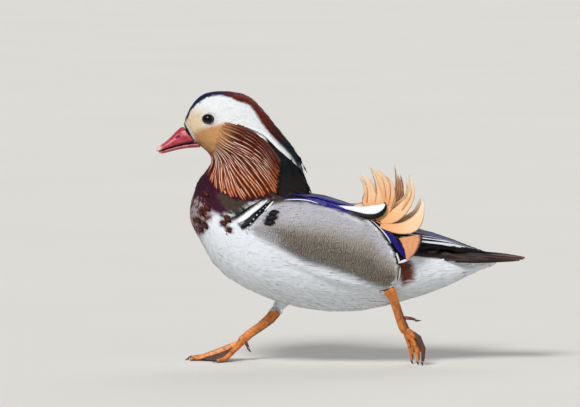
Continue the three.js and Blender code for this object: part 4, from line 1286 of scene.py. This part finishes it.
def side_blade(path, side, tree, lift, count=12):
    """A feather path laid on a solid's side, standing off it a little."""
    made = []
    for x, z, width in curve_rows(path, count):
        y, normal = surface_y(tree, x, z, side)
        if y is None:
            y, normal = made[-1][1] - side * lift, Vector((0, side, 0.3))
        made.append((x, y + side * lift, z, width, normal.x, normal.y, normal.z))
    return made


def spot_blades(side, tree):
    """The breast's dark-edged feathers, which point down and back."""
    made = []
    for x, z, half in BREAST_SPOTS:
        path = [(x - half, z + half, 0.6 * half), (x, z, 1.9 * half), (x + half, z - half, 0.5 * half)]
        made.append(side_blade(path, side, tree, 0.3))
    return made


def spot_tint(number, u, v, points):
    """Brown in the middle, with a broad dark edge and tip."""
    edge = np.maximum(smoothstep(0.35, 0.8, np.abs(2 * u - 1)), smoothstep(0.6, 0.85, v))
    return mix(linear(SPOT_BROWN), linear(SPOT_EDGE), edge)


def plume_tint(number, u, v, points):
    return np.tile(linear(BROW_WHITE), (len(u), 1))


def scapular_blade(side):
    """The shoulder feather, stood up on its edge along the back."""
    heights, outs = np.array(SCAPULAR_SIDE, dtype=float).T
    made = []
    for x, z, width in curve_rows(SCAPULAR_PATH, 12):
        made.append((x, side * np.interp(z, heights, outs), z, width, 0, side, 0.55))
    return made


def wing_edge_blades(side):
    """White shoulder feather, the edge feathers, and the row of dots behind the shoulder bars."""
    side_name = "left" if side < 0 else "right"
    tree = tree_of([f"wing_{side_name}", f"flank_{side_name}", f"wing_tip_{side_name}", "trunk"])
    made = [scapular_blade(side)]
    for *_, lift, path in EDGE_FEATHERS:
        made.append(side_blade(path, side, tree, lift))
    dotted = curve_rows(BAR_DOTTED, DOTS * 3)
    for n in range(DOTS):
        (ax, az), (bx, bz) = dotted[3 * n], dotted[3 * n + 1]
        dot = [(ax, az, 0.6), ((ax + bx) / 2, (az + bz) / 2, 1.9), (bx, bz, 0.6)]
        made.append(side_blade(dot, side, tree, 1.5))
    return made


def wing_edge_tint(number, u, v, points, side):
    """Two colours across each edge feather; the shoulder feather is white with a black edge and tip."""
    lower = u if side > 0 else 1 - u
    if number == 0:
        black = np.maximum(smoothstep(0.62, 0.66, lower), smoothstep(0.92, 0.95, v))
        return mix(linear(BROW_WHITE), linear(NEARLY_BLACK), black)
    if number > len(EDGE_FEATHERS):
        return np.tile(linear(DOT_BLUE), (len(u), 1))
    upper_code, lower_code, split, _, _ = EDGE_FEATHERS[number - 1]
    return mix(linear(upper_code), linear(lower_code), smoothstep(split - 0.04, split + 0.04, lower))


# Skin building

FLESH = [
    "trunk", "neck", "head", "crest", "ruff_left", "ruff_right", "flank_left", "flank_right",
    "wing_left", "wing_right", "wing_tip_left", "wing_tip_right", "tail", "thigh_right",
]
LEG_NODES = ["thigh_left"] + [f"{part}_{side}" for side in SIDES for part in ("shank", "foot", "hind_toe")]


# Middle lines of shanks and toes, as (x, y, z)
LEG_LINES = {
    "right": [
        [(-55.2, 22.6, 47.5), (-62.5, 22.3, 37.0), (-80.8, 19.8, 23.6), (-88.0, 18.7, 17.2)],
        [(-88.0, 16.0, 15.8), (-99.5, 5.6, 4.9), (-108.6, -1.8, 1.6)],
        [(-89.0, 18.4, 15.8), (-116.0, 18.2, 5.2), (-132.5, 16.5, 1.6)],
        [(-88.0, 20.8, 15.8), (-114.5, 30.6, 5.3), (-130.5, 35.2, 1.6)],
    ],
    "left": [
        [(40.6, -36.4, 70.5), (48.8, -29.8, 50.3), (54.0, -21.8, 35.0), (56.6, -19.4, 29.8)],
        [(56.4, -17.4, 28.8), (61.6, -11.4, 12.0), (62.4, -10.4, 4.4)],
        [(57.6, -19.2, 29.2), (67.2, -18.4, 12.6), (67.6, -18.2, 4.2)],
        [(58.6, -21.2, 30.6), (68.2, -23.8, 24.6), (72.2, -25.6, 15.2), (71.6, -26.4, 4.4)],
    ],
}


# Behind this line the trailing leg and foot are darkened with painted shade
TRAILING_SHADE_Z = [4.0, 10.5, 25.7, 44.6]
TRAILING_SHADE_X = [68.6, 68.0, 63.6, 56.4]


def leg_line_distance(points):
    """How far points are from the nearest shank or toe line, and how far they are down that line."""
    best = np.full(len(points), 1e9)
    down = np.zeros(len(points))
    on_toe = np.zeros(len(points), dtype=bool)
    for lines in LEG_LINES.values():
        for number, line in enumerate(lines):
            walked = 0.0
            for a, b in zip(np.array(line[:-1]), np.array(line[1:])):
                run = b - a
                size = np.linalg.norm(run)
                t = np.clip((points - a) @ run / size**2, 0, 1)
                gap = np.linalg.norm(points - a - t[:, None] * run, axis=1)
                nearer = gap < best
                best = np.where(nearer, gap, best)
                down = np.where(nearer, walked + t * size, down)
                on_toe = np.where(nearer, number > 0, on_toe)
                walked += size
    return best, down, on_toe


def leg_colours(points, normals):
    """Orange legs and toes with painted light on faces turned towards the light, dark webs and joints, and
    painted shade on faces turned away from it.
    """
    x, y, z = points.T
    nx, _, nz = normals.T
    gap, down, on_toe = leg_line_distance(points)
    patchy = np.sin(x * 0.9 + 1.3 * np.sin(z * 0.7)) * np.sin(z * 0.8 + y * 1.1)
    front = x < 0
    # Painted light: a brighter orange on faces turned up on the front leg and forwards on the trailing one
    orange = mix(linear(LEG_ORANGE), linear(LEG_LIT_ORANGE), smoothstep(0.2, 0.9, np.where(front, nz, -nx)))
    orange = mix(orange, linear(LEG_RUST), smoothstep(0.35, 0.9, patchy) * 0.6)
    web = smoothstep(2.9, 3.9, gap) * on_toe
    joint = on_toe * smoothstep(0.75, 1.0, np.cos(down * 2 * np.pi / 14.5)) * (down > 6)
    # Painted shade on faces turned down on the front leg and back on the trailing one, and behind the
    # trailing line
    turned_away_shade = np.where(front, smoothstep(-0.2, -0.7, nz), smoothstep(0.15, 0.7, nx) * smoothstep(60, 46, z))
    from_line = x - np.interp(z, TRAILING_SHADE_Z, TRAILING_SHADE_X)
    turned_away_shade = np.maximum(turned_away_shade, smoothstep(0.0, 1.8, from_line) * (x > 0) * smoothstep(52, 46, z))
    dark = np.clip(web + 0.55 * joint * smoothstep(-0.4, 0.4, patchy + 0.3) + turned_away_shade, 0, 1)
    colours = mix(orange, linear(LEG_DARK), dark * 0.9)
    feathered = smoothstep(36.6, 35.2, x - (68.3 - z) * 0.38) * (x > 20) * (z > 56)
    # The feathered top of the trailing leg takes the belly's grey of painted shade
    return mix(colours, linear(SHADED_BELLY_GREY), feathered)


def join_meshes(name, meshes):
    """One mesh from several, with their materials and attributes."""
    objects = [new_object(mesh.name, mesh) for mesh in meshes]
    with bpy.context.temp_override(active_object=objects[0], selected_editable_objects=objects):
        bpy.ops.object.join()
    joined = objects[0]
    mesh = joined.data
    bpy.data.objects.remove(joined)
    mesh.name = name
    return mesh


def lid_rings():
    """Thin dark rims of skin round both eyes, flush with the side of the head."""
    meshes = []
    around, across = 48, 8
    head = tree_of(["head"])
    for side in SIDES.values():
        points = []
        for i in range(around):
            a = 2 * math.pi * i / around
            # The head's surface sets how far out the rim lies, and that how wide the eye is there
            reach, out = 0.92, EYE["side"] + 2.4
            for _ in range(3):
                x = EYE["x"] + (EYE["long"] * reach + LID_OUT) * math.cos(a)
                z = EYE["z"] + (EYE_OPENING * reach + LID_OUT) * math.sin(a)
                y, _ = surface_y(head, x, z, side)
                if y is not None and abs(y) > EYE["side"] - 1:
                    out = abs(y)
                reach = math.sqrt(max(0.3, 1 - ((out - EYE["side"]) / EYE["deep"]) ** 2))
            for j in range(across):
                b = 2 * math.pi * j / across
                grow = LID_HALF_WIDTH * math.cos(b)
                rim_y = side * (out + 0.1 + 0.4 * math.sin(b))
                points.append((x + grow * math.cos(a), rim_y, z + grow * math.sin(a)))
        faces = []
        for i in range(around):
            for j in range(across):
                a, b = i * across + j, i * across + (j + 1) % across
                c, d = ((i + 1) % around) * across + (j + 1) % across, ((i + 1) % around) * across + j
                faces.append((a, b, c, d) if side > 0 else (a, d, c, b))
        meshes.append(mesh_from("lid", points, faces, np.tile(linear(LID_DARK), (len(points), 1))))
    return meshes


def make_skin(under_plumage, leg_skin):
    """The one skin: body under the feathers, bare legs and lids. It closes in under the eyeballs."""
    body = remeshed_nodes("body", [*FLESH, "eye_left", "eye_right"], SKIN_VOXEL, 6, shrink=COAT_DEPTH)
    points = points_of(body)
    # The skin takes the markings, darkened as painted shade between the feathers
    set_tint(body, all_colours(points, np.zeros_like(points)) * SKIN_SHADE)
    body.materials.append(under_plumage)
    legs = remeshed_nodes("legs", LEG_NODES, LEG_VOXEL, 3, fatten=0.2)
    set_tint(legs, leg_colours(points_of(legs), normals_of(legs)))
    legs.materials.append(leg_skin)
    lids = lid_rings()
    for lid in lids:
        lid.materials.append(leg_skin)
    skin = join_meshes("skin", [body, legs, *lids])
    piece = finish_piece("skin", skin, under_plumage, (*FLESH, *LEG_NODES))
    bpy.context.view_layer.objects.active = piece
    piece.select_set(True)
    bpy.ops.object.mode_set(mode="EDIT")
    bpy.ops.mesh.select_all(action="SELECT")
    bpy.ops.uv.smart_project(angle_limit=math.radians(66), island_margin=0.002)
    bpy.ops.object.mode_set(mode="OBJECT")
    piece.select_set(False)
    piece.data.uv_layers[0].name = "OFBake"
    return piece


def is_hood(x, z):
    """True on the head, ruff, crest and neck."""
    return (z > 160) | (depth_inside(x, z, RUFF) > -0.5) | (depth_inside(x, z, CREST) > 0)


def all_colours(points, jitter):
    """The markings of the whole bird, head and body."""
    hood = is_hood(points[:, 0], points[:, 2])
    return np.where(hood[:, None], head_colours(points, jitter), body_colours(points, jitter))


# Small separate parts

def eyeball(side_name, side, material):
    """A smooth glossy eyeball in the place of the faceted one."""
    builder = bmesh.new()
    bmesh.ops.create_uvsphere(builder, u_segments=32, v_segments=20, radius=1)
    mesh = bpy.data.meshes.new(f"eyeball_{side_name}")
    builder.to_mesh(mesh)
    builder.free()
    points = points_of(mesh) * MM
    turned = np.stack([points[:, 0] * EYE["long"], points[:, 2] * EYE["deep"], points[:, 1] * EYE_OPENING], 1)
    store_points(mesh, turned + np.array([EYE["x"], side * EYE["side"], EYE["z"]]))
    mesh.flip_normals()
    mesh.polygons.foreach_set("use_smooth", np.ones(len(mesh.polygons), dtype=bool))
    return finish_piece(f"eyeball_{side_name}", mesh, material, (f"eye_{side_name}",))


# Pupil, iris and rim of the eye: share of the way out from the middle, colour
EYE_RINGS = [(0.0, "010101"), (0.62, "020101"), (0.68, "0D0604"), (0.86, "0A0503"), (0.95, "030202")]


def eye_material():
    """A wet dark eye: black pupil, deep brown iris, clear glossy front."""
    material, tree, shader = new_material(
        "wet_dark_eye", Roughness=0.04, IOR=1.42, Specular_IOR_Level=0.3)
    place = add_node(tree, "ShaderNodeTexCoord").outputs["Object"]
    parts = add_node(tree, "ShaderNodeSeparateXYZ", {"Vector": place})
    squares = []
    for axis, middle, half in (("X", EYE["x"], EYE["long"]), ("Z", EYE["z"], EYE_OPENING)):
        off = math_of(tree, "SUBTRACT", parts.outputs[axis], middle * MM)
        off = math_of(tree, "MULTIPLY", off, 1 / (half * MM))
        squares.append(math_of(tree, "POWER", math_of(tree, "ABSOLUTE", off), 2.0))
    out = math_of(tree, "SQRT", math_of(tree, "ADD", *squares))
    tree.links.new(ramp(tree, out, EYE_RINGS), shader.inputs["Base Color"])
    return material


def bill_material():
    """Bill horn with a thin polished skin: crimson, rosy where it is worn, a pale nail at the tip."""
    material, tree, shader = new_material(
        "crimson_bill_horn", Roughness=0.38, Coat_Weight=0.35, Coat_Roughness=0.25, IOR=HORN_IOR,
        Subsurface_Weight=0.08, Subsurface_Scale=0.002)
    place = add_node(tree, "ShaderNodeTexCoord").outputs["Object"]
    cloud = add_node(tree, "ShaderNodeTexNoise", {
        "Vector": place, "Scale": 190.0, "Detail": 5.0, "Roughness": 0.6})
    colour = ramp(tree, cloud.outputs["Fac"], [(0.3, "861624"), (0.5, "B0263A"), (0.72, "C84A5E")])
    x = add_node(tree, "ShaderNodeSeparateXYZ", {"Vector": place}).outputs["X"]
    nail = add_node(tree, "ShaderNodeMapRange", {"Value": x, "From Min": -0.1568, "From Max": -0.1594})
    colour = mixed(tree, nail.outputs[0], colour, rgba("F0C4B4"))
    # Painted shade from the mandibles: in the nostrils, along the mouth line and over the lower mandible
    bill_shade_share = add_node(tree, "ShaderNodeAttribute", attribute_name="bill_shade").outputs["Fac"]
    colour = mixed(tree, bill_shade_share, colour, rgba("3A0C14"))
    tree.links.new(colour, shader.inputs["Base Color"])
    relief = add_node(tree, "ShaderNodeBump", {
        "Strength": 0.25, "Distance": 0.0004, "Height": cloud.outputs["Fac"]})
    tree.links.new(relief.outputs["Normal"], shader.inputs["Normal"])
    return material


BILL_VOXEL = 0.4
BILL_FATTEN = 0.15
UPPER_GROWTH = 0.15               # how far the mandibles stand out from their solids
LOWER_GROWTH = 0.5
# Painted shade over the whole lower mandible, under the upper one
LOWER_MANDIBLE_SHADE = 0.35
MOUTH_GAP = 0.12                  # between the closed mandibles
MOUTH_REACH = 3.5                 # the widest gap that is closed
NOSTRIL = {"x": -143.6, "z": 199.6, "long": 2.2, "tall": 0.95, "rise": math.radians(24), "deep": 1.1}
NAIL_RISE = 0.3


def closed_up(points, normals, upper):
    """Raises the upper faces of the lower mandible evenly until they nearly meet the upper one."""
    gaps = []
    for point in points[normals[:, 2] > 0.6]:
        _, _, _, reach = upper.ray_cast(Vector(point), Vector((0, 0, 1)), MOUTH_REACH)
        if reach is not None:
            gaps.append((point[0], reach - MOUTH_GAP))
    gaps = np.array(gaps)
    fit = np.polyfit(gaps[:, 0], gaps[:, 1], 2)
    x = np.clip(points[:, 0], gaps[:, 0].min(), gaps[:, 0].max())
    raised = points.copy()
    raised[:, 2] += np.clip(np.polyval(fit, x), 0.0, MOUTH_REACH) * smoothstep(0.0, 0.6, normals[:, 2])
    return raised


def nostril_share(points):
    """1 in the slanting nostrils, 0 around them."""
    dx, dz = points[:, 0] - NOSTRIL["x"], points[:, 2] - NOSTRIL["z"]
    a = (dx * math.cos(NOSTRIL["rise"]) + dz * math.sin(NOSTRIL["rise"])) / NOSTRIL["long"]
    b = (-dx * math.sin(NOSTRIL["rise"]) + dz * math.cos(NOSTRIL["rise"])) / NOSTRIL["tall"]
    return smoothstep(1.25, 0.55, np.hypot(a, b)) * (np.abs(points[:, 1]) > 1.5)


def finish_mandible(name, mesh, bill_shade, material, node_name):
    """Stores the painted shade of the horn at the points, and puts the mandible in the scene."""
    layer = mesh.attributes.new("bill_shade", "FLOAT", "POINT")
    layer.data.foreach_set("value", bill_shade.astype(np.float32))
    finish_piece(name, mesh, material, (node_name,))


def make_upper_mandible(material):
    """The upper mandible, with nostrils and a raised nail; gives back its surface in millimetres."""
    mesh = remeshed_nodes("upper_mandible", ["bill_upper"], BILL_VOXEL, 8, BILL_FATTEN, -UPPER_GROWTH)
    points, normals = points_of(mesh), normals_of(mesh)
    nostril = nostril_share(points)
    points = points - normals * nostril[:, None] * NOSTRIL["deep"]
    nail = smoothstep(-155.0, -158.5, points[:, 0]) * smoothstep(188.5, 190.0, points[:, 2])
    points = points + normals * nail[:, None] * NAIL_RISE
    store_points(mesh, points)
    # Painted shade in the nostrils and on the faces turned down along the mouth line
    bill_shade = np.maximum(nostril, 0.85 * smoothstep(-0.35, -0.75, normals[:, 2]))
    finish_mandible("upper_mandible", mesh, bill_shade, material, "bill_upper")
    return BVHTree.FromPolygons(points.tolist(), [tuple(face.vertices) for face in mesh.polygons])


def make_lower_mandible(material, upper):
    """The lower mandible, closed up against the upper one."""
    mesh = remeshed_nodes("lower_mandible", ["bill_lower"], BILL_VOXEL, 8, BILL_FATTEN, -LOWER_GROWTH)
    points, normals = points_of(mesh), normals_of(mesh)
    store_points(mesh, closed_up(points, normals, upper))
    # Painted shade over the lower mandible, deeper on its faces turned up along the mouth line
    bill_shade = np.maximum(LOWER_MANDIBLE_SHADE, 0.7 * smoothstep(0.25, 0.65, normals[:, 2]))
    finish_mandible("lower_mandible", mesh, bill_shade, material, "bill_lower")


def claw_material():
    """Dark horn claws, browner at the base."""
    material, tree, shader = new_material("dark_horn_claw", Roughness=0.4, IOR=HORN_IOR)
    place = add_node(tree, "ShaderNodeTexCoord").outputs["Object"]
    cloud = add_node(tree, "ShaderNodeTexNoise", {"Vector": place, "Scale": 500.0, "Detail": 3.0})
    tree.links.new(ramp(tree, cloud.outputs["Fac"], [(0.3, "1E1614"), (0.7, "4A382E")]),
                   shader.inputs["Base Color"])
    return material


def make_claws(material):
    """Each claw, smoothed from its faceted solid."""
    for side in SIDES:
        for toe in ("inner", "middle", "outer", "hind"):
            name = f"claw_{side}_{toe}"
            mesh = remeshed_nodes(f"hooked_{name}", [name], 0.22, 4, fatten=0.1)
            finish_piece(f"hooked_{name}", mesh, material, (name,))


def leg_material():
    """Leg skin: small horny scales with dark seams over orange and slate skin."""
    material, tree, shader = new_material(
        "scaly_leg_skin", Roughness=0.42, Coat_Weight=0.2, Coat_Roughness=0.3, Specular_IOR_Level=0.5)
    tint = add_node(tree, "ShaderNodeAttribute", attribute_name="tint").outputs["Color"]
    place = add_node(tree, "ShaderNodeTexCoord").outputs["Object"]
    scales = add_node(tree, "ShaderNodeTexVoronoi", {"Vector": place, "Scale": 720.0},
                      feature="DISTANCE_TO_EDGE")
    seams = ramp(tree, scales.outputs["Distance"], [(0.0, "000000"), (0.12, "FFFFFF")])
    cloud = add_node(tree, "ShaderNodeTexNoise", {"Vector": place, "Scale": 120.0, "Detail": 4.0})
    shade = ramp(tree, cloud.outputs["Fac"], [(0.35, "CCCCCC"), (0.65, "FFFFFF")])
    colour = mixed(tree, 1.0, tint, shade, "MULTIPLY")
    colour = mixed(tree, 0.25, colour, mixed(tree, 1.0, colour, seams, "MULTIPLY"))
    tree.links.new(colour, shader.inputs["Base Color"])
    relief = add_node(tree, "ShaderNodeBump", {"Strength": 0.5, "Distance": 0.0003, "Height": seams})
    tree.links.new(relief.outputs["Normal"], shader.inputs["Normal"])
    return material


# The bird

make_camera()
make_stage()

# Matt down, hardly seen between the feathers
under_plumage = feather_material("down_under_the_feathers", barbs=1, contrast=0.0, bump=0.0)
# Soft matt feathers with faint barbs
body_vane = feather_material("soft_body_feathers", barbs=9, contrast=0.10)
# Grey feathers crossed by fine wavy dark bars
flank_vane = feather_material("barred_flank_feathers", barbs=10, contrast=0.08, vermiculation=7.0)
# Silky plumes with a slight gloss
silk_vane = feather_material("silky_crest_plumes", barbs=7, slant=0.3, contrast=0.2, rough=0.45, specular=0.2)
# Narrow pointed feathers with pale shafts and dark edges
hackle_vane = feather_material("ruff_hackles", barbs=14, contrast=0.15, shaft=SHAFT_PALE, shaft_width=0.4,
                               rough=0.6, edge=HACKLE_EDGE, edge_power=1.9)
# Smooth close-knit vanes with a low gloss, on wings, back and tail
gloss_vane = feather_material("glossy_wing_feathers", barbs=24, slant=0.06, contrast=0.16, rough=0.42,
                              specular=0.15)
# Broad orange vanes ribbed by many fine barbs
sail_vane = feather_material("orange_sail_vanes", barbs=34, slant=0.10, contrast=0.14, rough=0.65, bump=0.4)

# Skin, and the parts of it that carry each kind of feather
skin_piece = make_skin(under_plumage, leg_material())
skin = Skin(skin_piece.data)
x, y, z = skin.centres.T
# The small faces high on the left leg are its bare skin; the right thigh is feathered
is_leg = (z < 44) | ((x > 30) & (x < 75) & (z < 72) & (y < -14) & (skin.areas < 0.2))
hood = is_hood(x, z) & (z > 146)
in_ruff = hood & (depth_inside(x, z, RUFF) > 0) & (np.abs(y) > 4)
in_crest = hood & (depth_inside(x, z, CREST) > 0) & ~in_ruff
in_eye = np.hypot((x - EYE["x"]) / (EYE["long"] + 0.45), (z - EYE["z"]) / (EYE["tall"] + 0.45)) < 1
in_head = hood & ~in_ruff & ~in_crest & (z > 184)
in_neck = hood & ~in_ruff & ~in_crest & ~in_head
body = ~hood & ~is_leg
flank_depth = depth_inside(x, z, FLANK)
in_flank = body & (flank_depth > -1) & (np.abs(y) > 18)
in_breast = body & (x < -78) & ~in_flank
in_tail = body & (x > 97) & (z > 89.6)
in_back = body & (z > height_on(BACK_LINE, x)) & ~in_flank & ~in_breast & ~in_tail
in_belly = body & ~in_flank & ~in_breast & ~in_back & ~in_tail

# Small feathers of the coat
face = scattered(skin, in_head & ~in_eye, spacing=1.15, length=4.4,
                 length_at=lambda p: 0.55 + 0.9 * smoothstep(-132, -95, p[:, 0]))
coat_piece("face_feathers", skin, face, body_vane, head_colours, width=1.8, rows=3,
           lift=(0.15, 0.6), profile=(0.6, 1.0, 0.4), jitter=0.2, camber=0.06, shade=0.02)
plumes = scattered(skin, in_crest, spacing=2.0, length=25,
                   length_at=lambda p: 0.45 + 0.55 * smoothstep(230, 190, p[:, 2]))
coat_piece("crest_plumes", skin, plumes, silk_vane, head_colours, width=2.2, rows=7,
           lift=(0.1, 1.4), drape=3.0, profile=HACKLE_TIP, jitter=0.15, stray=0.04)
ruff_down = scattered(skin, in_ruff, spacing=1.8, length=8, within=RUFF, flow=ruff_comb)
coat_piece("ruff_underfeathers", skin, ruff_down, body_vane, ruff_down_shaded_colours, width=2.4,
           lift=(0.1, 0.7), profile=HACKLE_TIP, flow=ruff_comb)
ruff_lines = flow_lines(skin, in_ruff, ruff_comb, RUFF, RUFF_LINE_GAP)
hackles = planted_on(skin, ruff_lines, stride=12, longest=24)
coat_piece("ruff_hackles", skin, hackles, hackle_vane, ruff_colours, width=2.5, rows=9,
           lift=(0.5, 1.7), drape=3.0, profile=LONG_TIP, flow=ruff_comb, stray=0.015, fade=ruff_fade,
           attributes={"paleness": shaft_paleness})
neck = scattered(skin, in_neck, spacing=1.8, length=8)
coat_piece("neck_feathers", skin, neck, body_vane, head_colours, width=3.2, lift=(0.1, 1.0))
breast = scattered(skin, in_breast, spacing=2.2, length=10)
coat_piece("breast_feathers", skin, breast, body_vane, body_colours, width=3.4, jitter=0.6,
           lift=(0.15, 0.7), camber=0.06, shade=0.02, root_shade=0.05)
for side_name, side in SIDES.items():
    flank = scattered(skin, in_flank & (y * side > 0), spacing=2.1, length=14, length_at=flank_length)
    coat_piece(f"flank_feathers_{side_name}", skin, flank, flank_vane, body_colours,
               width=3.6, rows=5, lift=(0.15, 1.2), profile=POINTED_TIP, jitter=0.35, shade=0.03,
               attributes={"barring": flank_barring})
back = scattered(skin, in_back, spacing=2.6, length=12,
                 length_at=lambda p: 1 - 0.5 * smoothstep(50, 80, p[:, 0]))
coat_piece("back_feathers", skin, back, gloss_vane, body_colours, width=6.0,
           lift=(0.15, 0.9), jitter=0.25, stray=0.06, camber=0.1)
belly = scattered(skin, in_belly, spacing=2.2, length=13,
                  length_at=lambda p: 1 - 0.6 * smoothstep(88, 110, p[:, 0]))
coat_piece("belly_feathers", skin, belly, body_vane, body_colours, width=2.8, rows=5,
           lift=(0.15, 0.85), jitter=0.8, camber=0.05, shade=0.02, root_shade=0.05, profile=POINTED_TIP,
           stray=0.14)

# Large feathers
for side_name, side in SIDES.items():
    near = side < 0
    flames = FLAMES + WISPS + ([] if near else [REAR_FLAME] + REAR_WISPS)
    sail = blades_mesh(f"sail_vanes_{side_name}", sail_blades(side, 1.0 if near else FAR_SAIL_SCALE, flames),
                       sail_tint, thickness=0.7, columns=11, rows=26, ragged=0.02)
    finish_piece(f"sail_vanes_{side_name}", sail, sail_vane, (f"sail_{side_name}",))
    primaries = blades_mesh(
        f"primaries_{side_name}", primary_blades(side), lambda *vane, side=side: primary_tint(*vane, side),
        thickness=0.6, columns=11, rows=18, cup=0.15)
    finish_piece(f"primaries_{side_name}", primaries, gloss_vane)
    edges = blades_mesh(
        f"wing_edge_feathers_{side_name}", wing_edge_blades(side),
        lambda *vane, side=side: wing_edge_tint(*vane, side), thickness=0.7, columns=17, rows=24, cup=0.08)
    finish_piece(f"wing_edge_feathers_{side_name}", edges, gloss_vane)
breast_tree = tree_of(["trunk", "neck"])
spots = [path for side in SIDES.values() for path in spot_blades(side, breast_tree)]
spot_mesh = blades_mesh("breast_spots", spots, spot_tint, thickness=0.6, columns=9, rows=12, ragged=0.06,
                        cup=0.1)
finish_piece("breast_spots", spot_mesh, body_vane)
hood_tree = tree_of(["head", "crest", "ruff_left", "ruff_right"])
brow_paths = [side_blade(BROW_PLUME, side, hood_tree, 0.9) for side in SIDES.values()]
brow_mesh = blades_mesh("brow_plumes", brow_paths, plume_tint, thickness=0.6, columns=9, rows=24, ragged=0.03)
finish_piece("brow_plumes", brow_mesh, body_vane)
tail = blades_mesh("tail_vanes", tail_blades() + covert_blades(), tail_tint,
                   thickness=0.6, columns=7, rows=16, cup=0.05)
finish_piece("tail_vanes", tail, gloss_vane)

# Eyes, bill and claws
eye_gloss = eye_material()
for side_name, side in SIDES.items():
    eyeball(side_name, side, eye_gloss)
horn = bill_material()
make_lower_mandible(horn, make_upper_mandible(horn))
make_claws(claw_material())
